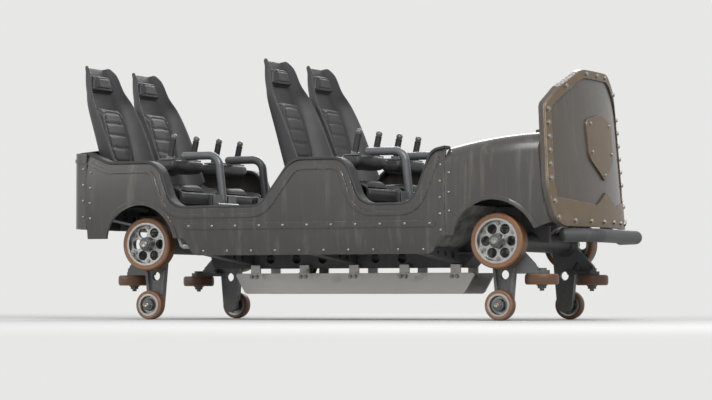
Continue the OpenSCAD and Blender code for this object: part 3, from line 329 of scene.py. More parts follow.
def turned(profile, spot, axis, count=24):
    """A profile of (radius, height) turned about an axis through spot, and closed at both ends."""
    up, side, other = basis(axis)
    turn = np.linspace(0, 2 * math.pi, count, endpoint=False)
    ring = np.cos(turn)[:, None] * side + np.sin(turn)[:, None] * other
    points = np.array([np.array(spot) + r * ring + h * up for r, h in profile]).reshape(-1, 3)
    last = (len(profile) - 1) * count
    faces = grid_faces(len(profile), count, closed=True)
    return points, faces + [list(range(count))[::-1], list(range(last, last + count))]


def bolt(spot, axis, size):
    """A hexagon head, size across its corners, on a washer."""
    up, side, other = basis(axis)
    turn = np.linspace(0, 2 * math.pi, 12, endpoint=False)
    ring = np.cos(turn)[:, None] * side + np.sin(turn)[:, None] * other
    hexagon = np.where(np.arange(12) % 2 == 0, 1.0, math.cos(math.pi / 6))[:, None] * ring
    levels = [(ring * 0.72, -0.05), (ring * 0.72, 0.10), (hexagon * 0.5, 0.11), (hexagon * 0.5, 0.40),
              (hexagon * 0.44, 0.46)]
    points = np.array([np.array(spot) + size * (shape + height * up) for shape, height in levels])
    return points.reshape(-1, 3), grid_faces(5, 12, closed=True) + [list(range(48, 60))]


def tube(path, radius, count=10):
    """A round bar along a path, whose radius may differ from point to point."""
    path = np.asarray(path, float)
    step = np.gradient(path, axis=0)
    step = step / np.linalg.norm(step, axis=1)[:, None]
    side = basis(step[0])[1]
    turn = np.linspace(0, 2 * math.pi, count, endpoint=False)
    points = []
    for spot, along, r in zip(path, step, np.broadcast_to(radius, len(path))):
        side = side - (side @ along) * along
        side = side / np.linalg.norm(side)
        points.append(spot + r * (np.cos(turn)[:, None] * side + np.sin(turn)[:, None] * np.cross(along, side)))
    last = (len(path) - 1) * count
    faces = grid_faces(len(path), count, closed=True)
    return np.concatenate(points), faces + [list(range(count))[::-1], list(range(last, last + count))]


def weld(*path, radius=0.004):
    """A weld bead along a path, which swells and shrinks every 7 mm as it was laid."""
    path = np.array(path, float)
    length = np.concatenate([[0], np.cumsum(np.linalg.norm(np.diff(path, axis=0), axis=1))])
    at = np.linspace(0, length[-1], max(int(length[-1] / 0.0023), 4))
    line = np.stack([np.interp(at, length, path[:, k]) for k in range(3)], 1)
    return tube(line, radius * (0.86 + 0.14 * np.sin(at * 900)), 7)


def welded(name, beads, body="root"):
    """One piece of weld beads, which were painted with the steel that they join."""
    piece(name, *joined(beads), body, "chassis_paint", chassis_paint)


chassis_paint = painted("chassis_paint", (0.045, 0.046, 0.048))
dress(chassis_paint, "chassis_frame", "seat_frame_front", "seat_frame_rear", "axle_beam_front", "axle_beam_rear",
      "rear_coupling")

axle_x = {"front": 1.150, "rear": -1.050}
axle_z = 0.439
spine_half = 0.100
spine_low_top = 0.410
spine_high_top = 0.642
outrigger_half = 0.032
outriggers = [(-0.630, spine_low_top), (0.050, spine_low_top), (0.710, spine_low_top), (-1.362, spine_high_top)]
beads = []
for x, top in outriggers:
    for s in (spine_half, -spine_half):
        for e in (1, -1):
            edge = x + e * outrigger_half
            beads.append(weld((edge, s, top - 0.088), (edge, s, top - 0.036)))
            beads.append(weld((edge, s, top - 0.034), (edge + e * 0.078, s, top - 0.034)))
for row, base in (("front", spine_low_top + 0.016), ("rear", spine_high_top)):
    seat_front = {"front": 0.300, "rear": -0.900}[row]
    for y in (-0.0920, -0.0765, 0.0765, 0.0920):
        beads.append(weld((seat_front - 0.418, y, base), (seat_front - 0.052, y, base)))
flange_back = -1.5603
for z in (0.541, 0.567, 0.607, 0.633):
    beads.append(weld((flange_back, -0.062, z), (flange_back, 0.062, z)))
welded("chassis_welds", beads)


# Wheel carriers
# Four flame-cut and machined plates, each with a road spindle, an upstop spindle and a shelf for
# the guide wheel's spindle, in grey paint, with rings of clamping bolts and split pins.
carrier_paint = painted("carrier_paint", (0.085, 0.087, 0.090), 0.45, chip=(0.34, 0.33, 0.32, 1))
zinc = Finish("zinc", (0.42, 0.41, 0.38), 0.42, 1.0)
zinc.set(colour=zinc.mix(zinc.noise(50.0, 5.0, 0.7), (0.13, 0.12, 0.105, 1), (0.46, 0.45, 0.42, 1)))
zinc.bump(zinc.noise(260.0), 0.0004, 0.4)


def fixings(name, parts, body="root"):
    """One piece of zinc plated bolts, screws or pins."""
    piece(name, *joined(parts), body, "wheel_metal", zinc.material)


heads = [bolt((flange_back, y, z), (-1, 0, 0), 0.017) for y in (-0.082, 0.082) for z in (0.549, 0.587, 0.625)]
fixings("coupling_bolts", heads)
carrier_face = 0.481
guide_lead = 0.190
guide_y = 0.401
wheel_turn = np.linspace(0, 2 * math.pi, 49)
lead = {"front": 1, "rear": -1}


def spindle_end(spot, axis, r):
    """The threaded end of a spindle, which stands out of its nut, with a split pin through it."""
    profile = [(r, -0.002)]
    for k in range(5):
        profile += [(r, 0.0020 * k + 0.0006), (r - 0.0009, 0.0020 * k + 0.0016)]
    profile += [(r, 0.0110), (r - 0.0018, 0.0132), (0.005, 0.0132), (0.002, 0.0110)]
    up, side, _ = basis(axis)
    middle = np.array(spot) + 0.0062 * up
    split_pin = tube([middle - (r + 0.007) * side, middle + (r + 0.009) * side], 0.0026, 8)
    return [turned(profile, spot, axis, 28), split_pin]


for row in rows:
    rings = [weld(*np.stack([axle_x[row] + 0.0575 * np.cos(wheel_turn), 0 * wheel_turn + y,
                             axle_z + 0.0575 * np.sin(wheel_turn)], 1)) for y in (0.4275, -0.4275)]
    welded(f"beam_welds_{row}", rings, f"bogie_{row}")
    for side, s in sides.items():
        dress(carrier_paint, f"wheel_carrier_{row}_{side}")
        x = axle_x[row]
        metal = []
        for turn in math.pi * (np.arange(8) + 0.5) / 4:
            metal.append(bolt((x + 0.060 * math.cos(turn), s * carrier_face, axle_z + 0.060 * math.sin(turn)),
                              (0, s, 0), 0.020))
        metal += spindle_end((x, s * 0.6255, axle_z), (0, s, 0), 0.020)
        metal += spindle_end((x, s * 0.5955, 0.085), (0, s, 0), 0.0135)
        metal += spindle_end((x + lead[row] * guide_lead, s * guide_y, 0.1785), (0, 0, -1), 0.0135)
        fixings(f"carrier_bolts_{row}_{side}", metal, f"bogie_{row}")


# Wheels
# Turned aluminium hubs with amber-brown polyurethane cast on them: road wheels 310 mm, guide
# wheels 190 mm and upstop wheels 170 mm across. Turning marks run round each wheel's own axis.
urethane = (0.205, 0.098, 0.046)
aluminium = (0.52, 0.52, 0.51)


def wheel_finish(name, spot, axis, tread_from, band_half):
    """Aluminium inside tread_from and polyurethane outside it, both marked in rings round spot along axis.
    The middle of the tread, band_half to each side, is dark and smooth where it rolls on the rail."""
    wheel = Finish(name, aluminium, 0.36)
    moved = wheel.vector("SUBTRACT", wheel.point, spot)
    radius = wheel.vector("LENGTH", wheel.vector("MULTIPLY", moved, tuple(1.0 - a for a in axis)))
    is_tread = radius.above(tread_from - 0.0006, tread_from + 0.0006)
    grime = wheel.noise(28.0, 5.0, 0.65)
    rings = wheel.node("ShaderNodeTexNoise", {"noise_dimensions": "1D"},
                       {"W": radius, "Scale": 900.0, "Detail": 3.0})
    oiled = radius.above(0.062, 0.030) * grime.above(0.35, 0.65) * 0.8
    clean = wheel.mix(grime, shade(aluminium, 0.62), shade(aluminium, 1.05))
    metal = wheel.mix(oiled, clean, (0.05, 0.045, 0.04, 1))
    beside = wheel.vector("LENGTH", wheel.vector("MULTIPLY", moved, axis))
    rolled = beside.above(band_half + 0.004, band_half - 0.003) * is_tread
    tread = wheel.mix(grime, shade(urethane, 0.62), shade(urethane, 1.25))
    tread = wheel.mix(rolled * 0.75, tread, shade(urethane, 0.30))
    wheel.set(colour=wheel.mix(is_tread, metal, tread), metallic=1.0 - is_tread,
              roughness=0.30 + grime * 0.18 + is_tread * 0.16 - rolled * 0.12)
    return wheel.bump(rings * 0.6 + grime * 0.4, 0.0009, 0.5, round_edges=0.002).material


rail_y = 0.560
for row, side, s in [(row, side, s) for row in rows for side, s in sides.items()]:
    x = axle_x[row]
    road = wheel_finish(f"road_wheel_{row}_{side}", (x, s * rail_y, axle_z), (0, 1, 0), 0.125, 0.030)
    dress(road, f"road_hub_{row}_{side}", f"road_tread_{row}_{side}")
    for name, spot, axis, tread_from in (
            ("guide_wheel", (x + lead[row] * guide_lead, s * guide_y, 0.229), (0, 0, 1), 0.075),
            ("upstop_wheel", (x, s * 0.545, 0.085), (0, 1, 0), 0.065)):
        name = f"{name}_{row}_{side}"
        dress(wheel_finish(name, spot, axis, tread_from, 0.022), name)
    caps = [bolt((x + 0.097 * math.cos(turn), s * rail_y + e * 0.0108, axle_z + 0.097 * math.sin(turn)),
                 (0, e, 0), 0.017) for turn in math.pi * (np.arange(6) + 0.5) / 3 for e in (1, -1)]
    fixings(f"hub_bolts_{row}_{side}", caps, f"road_wheel_{row}_{side}")


# Brake fins and rollback pawl
# Two bright steel plates, scored lengthwise where the track's brakes clamp them, and a forged
# pawl that drags along the rack, with scale on its faces.
fin_steel = Finish("fin_steel", (0.42, 0.41, 0.39), 0.35)
scores = fin_steel.noise(1.0, 3.0, 0.6, (1.2, 1.0, 900.0))
rust = fin_steel.noise(9.0, 6.0, 0.7).above(0.52, 0.72) * fin_steel.along("Z").above(0.20, 0.30)
fin_steel.set(colour=fin_steel.mix(rust, (0.42, 0.41, 0.39, 1), (0.17, 0.085, 0.045, 1)),
              metallic=1.0 - rust * 0.8,
              roughness=0.28 + scores * 0.2 + rust * 0.3)
fin_steel.bump(scores, 0.0006, 0.6, round_edges=0.002)
dress(fin_steel.material, "brake_fins")
bolts = []
beads = []
for x in np.linspace(-0.570, 0.710, 5):
    for s in (1, -1):
        for e in (0.016, -0.016):
            bolts.append(bolt((x + e, s * 0.152, 0.250), (0, s, 0), 0.020))
            bolts.append(bolt((x + e, s * 0.124, 0.250), (0, -s, 0), 0.020))
        beads.append(weld((x - 0.029, s * spine_half, 0.318), (x + 0.029, s * spine_half, 0.318)))
        beads.append(weld((x - 0.029, s * spine_half, 0.304), (x + 0.029, s * spine_half, 0.304)))
fixings("fin_bolts", bolts)
welded("hanger_welds", beads)
pawl_steel = Finish("pawl_steel", (0.20, 0.19, 0.18), 0.5, 1.0)
scale = pawl_steel.noise(45.0, 6.0, 0.65)
pawl_steel.set(colour=pawl_steel.mix(scale, (0.10, 0.09, 0.085, 1), (0.27, 0.25, 0.23, 1)),
               roughness=0.35 + scale * 0.3)
pawl_steel.bump(scale, 0.0015, 0.6, round_edges=0.003)
dress(pawl_steel.material, "rollback_pawl")


# Side panels
# Two moulded panels with a raised band, a rubbing strip and a wheel arch lip, in charcoal satin
# paint under a thin clear coat, with rows of domed screws into the frame behind.
body_paint = painted("body_paint", (0.043, 0.039, 0.036), 0.34, coat=0.35, dust_top=0.62)
dress(body_paint, "side_panel_left", "side_panel_right", "tail_panel")
face_y = 0.694
lip_h = 0.006
belt_z = 0.700
bulge_r = 1.400
nose_x = 0.880
tail_x = -1.520


def panel_face(z):
    """How far out a side panel's face stands at a height: a circle of radius bulge_r about belt_z."""
    return face_y - bulge_r + math.sqrt(bulge_r ** 2 - (z - belt_z) ** 2)


def dome(spot, axis, size):
    """A domed screw head, size across, with a socket in its middle."""
    half = size / 2
    profile = [(half, -0.1 * size), (half, 0.10 * size), (0.86 * half, 0.24 * size), (0.62 * half, 0.33 * size),
               (0.40 * half, 0.36 * size), (0.34 * half, 0.30 * size), (0.10 * half, 0.28 * size)]
    return turned(profile, spot, axis, 14)


for side, s in sides.items():
    heads = []
    for x in np.linspace(-0.720, 0.790, 11):
        heads.append(dome((x, s * (panel_face(0.537) + lip_h), 0.537), (0, s, -0.06), 0.017))
    for z in np.linspace(0.500, 0.860, 5):
        heads.append(dome((nose_x - 0.028, s * panel_face(z), z), (0, s, 0), 0.015))
        if z > 0.56:
            heads.append(dome((tail_x + 0.145, s * panel_face(z), z), (0, s, 0), 0.015))
    for x in np.linspace(-0.640, 0.740, 10):
        heads.append(dome((x, s * panel_face(0.395), 0.395), (0, s, -0.1), 0.015))
    fixings(f"panel_screws_{side}", heads)


# Tail panel
# The side panels' paint and raised band run on round the back, with screws along its foot.
heads = []
for y in np.linspace(-0.540, 0.540, 9):
    if abs(y) > 0.13:
        heads.append(dome((tail_x, y, 0.556), (-1, 0, 0), 0.016))
for s in (1, -1):
    for z in np.linspace(0.600, 0.880, 4):
        heads.append(dome((tail_x + 0.095, s * 0.686, z), (0, s, 0), 0.015))
fixings("tail_screws", heads)


# Coaming and dash
# A rubber moulding along each side's top edge, 92 mm wide with round shoulders, which follows the
# CAD's line on finer corners, and the dash in the same black. It is scuffed pale at the sills.
rubber = Finish("rubber", (0.022, 0.022, 0.023), 0.62)
scuffs = rubber.noise(11.0, 6.0, 0.7, (0.35, 1, 1)).above(0.55, 0.72) * rubber.facing("Z").above(0.4, 0.95)
rubber.set(colour=rubber.mix(scuffs * 0.5, (0.022, 0.022, 0.023, 1), (0.115, 0.108, 0.10, 1)),
           roughness=0.58 + scuffs * 0.2)
rubber.bump(rubber.cells(420.0), 0.0005, 0.5, round_edges=0.004)
dress(rubber.material, "dash_panel")
sill_z = 0.640
hip_z = 0.905


def unit(v):
    """Vectors of length 1 along the last axis of v."""
    return v / np.linalg.norm(v, axis=-1)[..., None]


def rounded_outline(corners, steps=7, closed=True):
    """Points round an outline [(x, z, corner radius), ...], or along an open line, whose ends stay."""
    points = []
    for k, (x, z, r) in enumerate(corners):
        here = np.array([x, z])
        if not closed and k in (0, len(corners) - 1):
            points.append(here[None])
            continue
        before = unit(np.array(corners[k - 1][:2]) - here)
        after = unit(np.array(corners[(k + 1) % len(corners)][:2]) - here)
        half = math.acos(before @ after) / 2
        centre = here + unit(before + after) * r / math.sin(half)
        a, b = (here + way * r / math.tan(half) - centre for way in (before, after))
        start = math.atan2(a[1], a[0])
        sweep = (math.atan2(b[1], b[0]) - start + math.pi) % (2 * math.pi) - math.pi
        turn = start + sweep * np.linspace(0, 1, steps + 1)
        points.append(centre + r * np.stack([np.cos(turn), np.sin(turn)], 1))
    return np.concatenate(points)


def outward(thing):
    """Makes a closed piece's normals point out of it."""
    mesh = bmesh.new()
    mesh.from_mesh(thing.data)
    bmesh.ops.recalc_face_normals(mesh, faces=mesh.faces)
    mesh.to_mesh(thing.data)
    mesh.free()
    return thing


def hip_line(x):
    """Corners of the top edge round the hips of the row whose seats begin at x."""
    return [(x + 0.060, sill_z, 0.120), (x - 0.040, hip_z, 0.100), (x - 0.360, hip_z, 0.120)]


edge_line = rounded_outline([(0.878, hip_z + 0.045, 0), (0.800, hip_z + 0.030, 0.070), (0.690, sill_z, 0.110),
                             *hip_line(0.300), (-0.260, sill_z, 0.120), *hip_line(-0.900),
                             (-1.400, hip_z + 0.060, 0)], 20, closed=False)
edge_step = unit(np.concatenate([edge_line[1:], edge_line[-1:]])
                 - np.concatenate([edge_line[:1], edge_line[:-1]]))
edge_up = np.stack([edge_step[:, 1], -edge_step[:, 0]], 1)
strip = rounded_outline([(0.596, 0.0, 0.002), (0.688, 0.0, 0.002),
                         (0.688, 0.016, 0.0075), (0.596, 0.016, 0.0075)], 8)
for side, s in sides.items():
    rings = [np.stack([x + strip[:, 1] * n_x, s * strip[:, 0], z + strip[:, 1] * n_z], 1)
             for (x, z), (n_x, n_z) in zip(edge_line, edge_up)]
    last = (len(edge_line) - 1) * len(strip)
    faces = grid_faces(len(edge_line), len(strip), closed=True)
    faces += [list(range(len(strip)))[::-1], list(range(last, last + len(strip)))]
    moulding = outward(piece(f"coaming_strip_{side}", np.concatenate(rings), faces, "root", "body_trim",
                             rubber.material))
    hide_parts(f"coaming_{side}")


# Nose cowl
# One moulded shell from the front row's toe board to the fascia, with round shoulders, a raised
# middle and a wheel arch in each side, in the side panels' paint. It replaces the CAD's facets.
fascia_x = 1.550
fascia_r = 1.500
fascia_foot = 0.520
fascia_top = 1.400
fascia_w = 1.190
fascia_lean = math.radians(5)
nose_l = fascia_x + 0.010 - nose_x
shoulder_r = 0.110
deck_low = 0.971
deck_rise = 0.084
skirt_low = 0.470
skirt_rise = 0.096
hood_rise = 0.016
arch_r = 0.225
panel_t = 0.018


def eased(f):
    """0 up to f = 0, 1 from f = 1, and a smooth step between them."""
    g = np.clip(f, 0, 1)
    return g * g * (3 - 2 * g)


def fascia_back(y, z, out=0.0):
    """X of the fascia's back, or of a surface out in front of it: a cylinder that leans back."""
    return fascia_x - fascia_r + (np.sqrt((fascia_r + out) ** 2 - y ** 2)
                                  - (z - fascia_foot) * math.sin(fascia_lean)) / math.cos(fascia_lean)


def nose_wall(x, z, t):
    """How far out the cowl's side stands, inset by t: it leans in below belt_z and, less, above it."""
    f = np.clip((x - nose_x) / nose_l, 0, 1)
    w = face_y + (fascia_w / 2 - 0.029 - face_y) * eased(f ** 1.6) - t
    skirt = skirt_low + skirt_rise * eased(2 * f - 1)
    foot = deck_low + deck_rise * f * (2 - f) - 0.014 - shoulder_r
    below = (0.019 + 0.013 * f) * np.clip((belt_z - z) / (belt_z - skirt), 0, 2) ** 2
    return w - below - 0.006 * np.clip((z - belt_z) / (foot - belt_z), 0, 1) ** 2


def nose_point(x, v, t):
    """A point of the cowl's skin, inset by t: v is 0 at the skirt, 1 at the shoulder's foot, 2 at its top and 3 in
    the middle of the deck. The skirt rises round the wheel arch."""
    f = np.clip((x - nose_x) / nose_l, 0, 1)
    half = face_y + (fascia_w / 2 - 0.029 - face_y) * eased(f ** 1.6)
    w = half - t
    skirt = skirt_low + skirt_rise * eased(2 * f - 1)
    reach = np.clip(1 - ((x - axle_x["front"]) / arch_r) ** 2, 0, 1)
    low = np.maximum(skirt, axle_z + arch_r * np.sqrt(reach))
    top = deck_low + deck_rise * f * (2 - f) - t
    r = shoulder_r - t
    flat = w - 0.006 - r
    foot = top - 0.014 - r
    wall_z = low + (foot - low) * np.clip(v, 0, 1)
    turn = math.pi / 2 * np.clip(v - 1, 0, 1)
    across = flat * np.clip(3 - v, 0, 1)
    crown = top - 0.014 * (across / flat) ** 2
    crown = crown + hood_rise * np.sin(math.pi * f) * eased(1.25 * (1 - across / (0.38 * half)))
    if v <= 1:
        return np.stack([x, nose_wall(x, wall_z, t), wall_z], -1)
    if v <= 2:
        return np.stack([x, flat + r * np.cos(turn), foot + r * np.sin(turn)], -1)
    return np.stack([x, across, crown], -1)


arch_x = axle_x["front"] + 0.9908 * arch_r * np.cos(np.linspace(math.pi, 0, 44))
stations = np.concatenate([np.linspace(nose_x, arch_x[0] - 0.0006, 8), arch_x,
                           np.linspace(arch_x[-1] + 0.0006, 1.56, 26)])
shares = np.clip((stations - arch_x[-1]) / (stations[-1] - arch_x[-1]), 0, 1)
half_v = np.concatenate([np.linspace(0, 1, 22)[:-1], np.linspace(1, 2, 14)[:-1], np.linspace(2, 3, 26)])
skins = []
for inset in (0.0, panel_t):
    half_skin = []
    for v in half_v:
        x = stations
        for _ in range(5):
            spot = nose_point(x, v, inset)
            limit = fascia_back(spot[:, 1], spot[:, 2], -0.0004)
            x = np.where(shares > 0, arch_x[-1] + shares * (limit - arch_x[-1]), stations)
        half_skin.append(nose_point(x, v, inset))
    half_skin = np.array(half_skin).transpose(1, 0, 2)
    skins.append(np.concatenate([half_skin, half_skin[:, :-1][:, ::-1] * (1, -1, 1)], 1))


def thick_sheet(outer, inner):
    """A closed shell between two grids of points."""
    count_u, count_v = outer.shape[:2]
    size = count_u * count_v
    faces = grid_faces(count_u, count_v)
    inside = [[size + k for k in face[::-1]] for face in faces]
    index = np.arange(size).reshape(count_u, count_v)
    rim = np.concatenate([index[:, 0][::-1], index[0, 1:], index[1:, -1], index[-1, ::-1][1:-1]])
    after = np.roll(rim, -1)
    return (np.concatenate([outer.reshape(-1, 3), inner.reshape(-1, 3)]),
            faces + inside + np.stack([rim, after, size + after, size + rim], 1).tolist())


nose = outward(piece("nose_shell", *thick_sheet(*skins), "root", "body_panel", body_paint))
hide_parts("nose_cowl")
lip_profile = [(0.0, -0.002), (0.0, 0.0045), (0.0015, lip_h),
               (0.0225, lip_h), (0.024, 0.0045), (0.024, -0.002)]
lip = []
for inset, out in lip_profile:
    r = arch_r + inset
    first, last = 0.3, math.pi - math.asin((skirt_low - axle_z) / r)
    for _ in range(6):
        f = (axle_x["front"] + r * math.cos(first) - nose_x) / nose_l
        first = math.asin((skirt_low + skirt_rise * eased(2 * f - 1) - axle_z) / r)
    turn = np.linspace(first, last, 60)
    x, z = axle_x["front"] + r * np.cos(turn), axle_z + r * np.sin(turn)
    lip.append(np.stack([x, nose_wall(x, z, 0.0) + out, z], 1))
lip_points = np.array(lip).transpose(1, 0, 2)
lip_faces = grid_faces(60, 6, closed=True) + [list(range(6))[::-1], list(range(354, 360))]
for side, s in sides.items():
    outward(piece(f"nose_lip_{side}", lip_points.reshape(-1, 3) * (1, s, 1), lip_faces, "root", "body_panel",
                  body_paint))
heads = []
for v in (0.35, 0.62, 0.90, 1.5, 2.12, 2.4, 2.72):
    for s in (1, -1):
        spot = nose_point(np.array([nose_x + 0.026]), v, 0.0)[0]
        step = nose_point(np.array([nose_x + 0.026]), v + 0.02, 0.0)[0] - spot
        heads.append(dome(spot * (1, s, 1), (0, s * step[2], -step[1]), 0.015))
fixings("nose_screws", heads)


# Fascia
# A tall blank shield, curved in plan and leaning back, in dark bronze paint, with a raised frame,
# a chin plate and a plain badge in lighter bronze, all bolted through.
fascia_paint = painted("fascia_paint", (0.060, 0.050, 0.042), 0.38, coat=0.25, dust_top=0.5,
                       chip=(0.30, 0.24, 0.18, 1))
dress(fascia_paint, "fascia")
bronze = Finish("bronze", (0.25, 0.195, 0.14), 0.42, 0.85)
patina = bronze.noise(7.0, 7.0, 0.68)
worn = bronze.edges(0.006) * patina.above(0.35, 0.6)
dull_bronze = bronze.mix(patina, (0.13, 0.10, 0.075, 1), (0.27, 0.21, 0.15, 1))
bronze.set(colour=bronze.mix(worn, dull_bronze, (0.50, 0.42, 0.32, 1)),
           roughness=0.36 + patina * 0.25 - worn * 0.1)
bronze.bump(bronze.cells(85.0) * 0.6 + patina * 0.4, 0.0018, 0.45, round_edges=0.004)
dress(bronze.material, "fascia_frame")


def on_frame(y, z):
    """A point on the front of the fascia's frame, and the way out of it."""
    return (fascia_back(y, z, 0.038), y, z), (math.cos(fascia_lean), y / fascia_r, math.sin(fascia_lean))


spots = [(0.0, fascia_top - 0.023, 0.024), (0.0, fascia_top - 0.585, 0.018)]
for s in (1, -1):
    for z in np.linspace(fascia_foot + 0.26, fascia_top - 0.24, 6):
        spots.append((s * (fascia_w / 2 - 0.023 - 0.058 * max(0, z - 0.74)), z, 0.024))
    spots += [(s * 0.535, 0.565, 0.024), (s * 0.556, 0.655, 0.024), (s * 0.380, fascia_top - 0.104, 0.024),
              (s * 0.15, fascia_top - 0.023, 0.024), (s * 0.150, 1.100, 0.018), (s * 0.155, 0.940, 0.018)]
    spots += [(s * y, fascia_foot + 0.030, 0.024) for y in (0.08, 0.24, 0.40)]
heads = [bolt(*on_frame(y, z), size) for y, z, size in spots]
fixings("fascia_bolts", heads)


# Bumper
# A bent steel tube on two brackets, in the chassis paint, with weld beads where they meet.
dress(chassis_paint, "front_bumper")
bumper_x = 1.6416
bumper_turn = np.radians(np.linspace(141, 211, 12))
beads = []
for y in (-0.170, -0.150, 0.150, 0.170):
    beads.append(weld(*np.stack([bumper_x + 0.0385 * np.cos(bumper_turn), 0 * bumper_turn + y,
                                 0.470 + 0.0385 * np.sin(bumper_turn)], 1)))
welded("bumper_welds", beads)
cap = [(0.0300, -0.003), (0.0362, -0.0005), (0.0374, 0.0030),
       (0.0350, 0.0080), (0.0240, 0.0120), (0.0080, 0.0132)]
caps = [turned(cap, (1.490, s * 0.470, 0.470), (-0.7345, s * 0.6785, 0), 36) for s in (1, -1)]
piece("bumper_caps", *joined(caps), "root", "body_trim", rubber.material)


# Floor
# Aluminium tread plate with raised lozenges in two directions, worn bright on the lozenges and
# dirty between them.
plate = Finish("tread_plate", (0.26, 0.26, 0.26), 0.42)
wave = 2 * math.pi / 0.042
first = ((plate.along("X") + plate.along("Y")) * wave).math("COSINE") * 0.5
second = ((plate.along("X") - plate.along("Y")) * wave).math("COSINE") * 0.5
lozenges = ((first + 0.5) ** 9.0 * (second + 0.5) ** 2.0).math(
    "MAXIMUM", (0.5 - second) ** 9.0 * (0.5 - first) ** 2.0)
lozenges = lozenges.above(0.12, 0.5) * plate.facing("Z").above(0.8, 0.95)
dirt = plate.noise(8.0, 6.0, 0.65)
trodden = dirt.above(0.42, 0.68) * (1.0 - lozenges * 0.6)
plate.set(colour=plate.mix(trodden, (0.30, 0.30, 0.295, 1), (0.085, 0.078, 0.07, 1)),
          roughness=0.34 + dirt * 0.3, metallic=0.9 - dirt * 0.3)
plate.bump(lozenges, 0.0022, 0.8, round_edges=0.002)
dress(plate.material, "floor_pan")
floor_top = 0.426
seat_x = {"front": 0.300, "rear": -0.900}
seat_y = 0.282
pivot = (0.150, 0.518)            # lap bar's pin, from the seat's front edge and from the ground
heads = []
beads = []
for s in (1, -1):
    for x in (-0.630, 0.050, 0.710):
        for y in (0.160, 0.360, 0.500):
            heads.append(dome((x, s * y, floor_top - 0.002), (0, 0, 1), 0.014))
    for x in (-0.740, -0.630, -0.400, -0.250, -0.100, 0.050, 0.200, 0.350, 0.500, 0.710):
        heads.append(dome((x, s * 0.622, floor_top - 0.002), (0, 0, 1), 0.014))
    for row in rows:
        for y in (seat_y - 0.0445, seat_y + 0.0445):
            x = seat_x[row] + pivot[0]
            beads.append(weld((x - 0.068, s * y, floor_top), (x + 0.068, s * y, floor_top)))
fixings("floor_screws", heads)
welded("lug_welds", beads)


# Seat shells
# Four moulded bucket seats with side bolsters and head wings, 500 mm wide, in black textured
# plastic with a rounded rim. Each section follows the CAD's tables on a finer smooth curve.
seat_z = 0.740
seat_half = 0.250
back_l = 0.740
back_lean = math.radians(16)
shell_t = 0.014
hip = (-0.482, seat_z + 0.050)
seat_base = [(0.018, -0.058, 0.040, 0.006), (0.022, -0.014, 0.030, 0.012), (-0.008, 0.010, 0.016, 0.024),
             (-0.180, 0.002, 0.006, 0.042), (-0.350, -0.014, 0.002, 0.084), (-0.438, -0.004, 0.004, 0.118),
             (-0.482, 0.050, 0.008, 0.128)]           # along, up, inset of the edge, bolster's height
seat_back = [(0.14, -0.003, 0.010, 0.118), (0.42, 0.0, 0.008, 0.096), (0.66, -0.002, 0.018, 0.070),
             (0.80, 0.0, 0.062, 0.050), (0.93, 0.008, 0.096, 0.040), (1.0, 0.004, 0.126, 0.024)]
seat_table = np.array([(x, seat_z + z, seat_half - inset, bolster) for x, z, inset, bolster in seat_base]
                      + [(hip[0] - math.sin(back_lean) * share * back_l + math.cos(back_lean) * out,
                          hip[1] + math.cos(back_lean) * share * back_l + math.sin(back_lean) * out,
                          seat_half - inset, bolster) for share, out, inset, bolster in seat_back])


def seat_sections(first, last, count):
    """Sections between two rows of the seat's table, on a smooth curve: the section's row, and its normal."""
    at = np.linspace(first, last, count)
    i = np.minimum(at.astype(int), len(seat_table) - 2)
    f = (at - i)[:, None]
    a, b, c = seat_table[np.maximum(i - 1, 0)], seat_table[i], seat_table[i + 1]
    d = seat_table[np.minimum(i + 2, len(seat_table) - 1)]
    section = b + f / 2 * (c - a + f * (2 * a - 5 * b + 4 * c - d + f * (3 * b - a - 3 * c + d)))
    step = unit(np.gradient(section[:, :2], axis=0))
    return section, np.stack([step[:, 1], -step[:, 0]], 1)


def bucket_height(u, bolster):
    """How far a section rises at share u of its half width: flat in the middle, steep at the edge."""
    return bolster * (np.clip(np.abs(u) - 0.6, 0, 1) / 0.4) ** 2.6


shell_plastic = Finish("shell_plastic", (0.030, 0.030, 0.032), 0.5)
rubbed = shell_plastic.edges(0.012, 0.03, 0.3) * shell_plastic.noise(24.0, 5.0, 0.7).above(0.42, 0.62)
moulded = shell_plastic.mix(shell_plastic.noise(5.0), (0.024, 0.024, 0.026, 1), (0.036, 0.036, 0.038, 1))
shell_plastic.set(colour=shell_plastic.mix(rubbed * 0.6, moulded, (0.13, 0.13, 0.13, 1)),
                  roughness=0.46 + shell_plastic.noise(14.0) * 0.14 - rubbed * 0.1)
shell_plastic.bump(shell_plastic.cells(520.0), 0.0004, 0.45)

section, normal = seat_sections(0, 12, 145)
share = np.sin(np.linspace(-1, 1, 61) * 1.445) / math.sin(1.445)
height = bucket_height(share, section[:, 3:4])
inner = np.stack([section[:, :1] + normal[:, :1] * height, section[:, 2:3] * share,
                  section[:, 1:2] + normal[:, 1:] * height], -1)
# at the hip the raised edges' sections cross, so they are eased apart along the seat
bent = np.exp(-((np.arange(145) - 72) / 20.0) ** 2)[1:-1, None] * eased((np.abs(share) - 0.5) / 0.25)
for _ in range(90):
    inner[1:-1] += 0.24 * bent[..., None] * (inner[2:] + inner[:-2] - 2 * inner[1:-1])
out = unit(np.cross(np.gradient(inner, axis=0), np.gradient(inner, axis=1)))
out = out * np.sign(out[72, 30] @ (normal[72, 0], 0, normal[72, 1]))
rib = (np.clip(1 - np.abs(np.abs(inner[..., 1]) - 0.135) / 0.014, 0, 1)
       * eased((section[:, 1:2] - 0.86) / 0.05))
outer = inner - out * (shell_t + 0.004 * eased(rib))[..., None]
index = np.arange(inner[..., 0].size).reshape(inner.shape[:2])


def around(grid):
    """A grid's values round its edge, in one loop."""
    return np.concatenate([grid[:, -1], grid[-1, ::-1][1:-1], grid[::-1, 0], grid[0, 1:-1]])


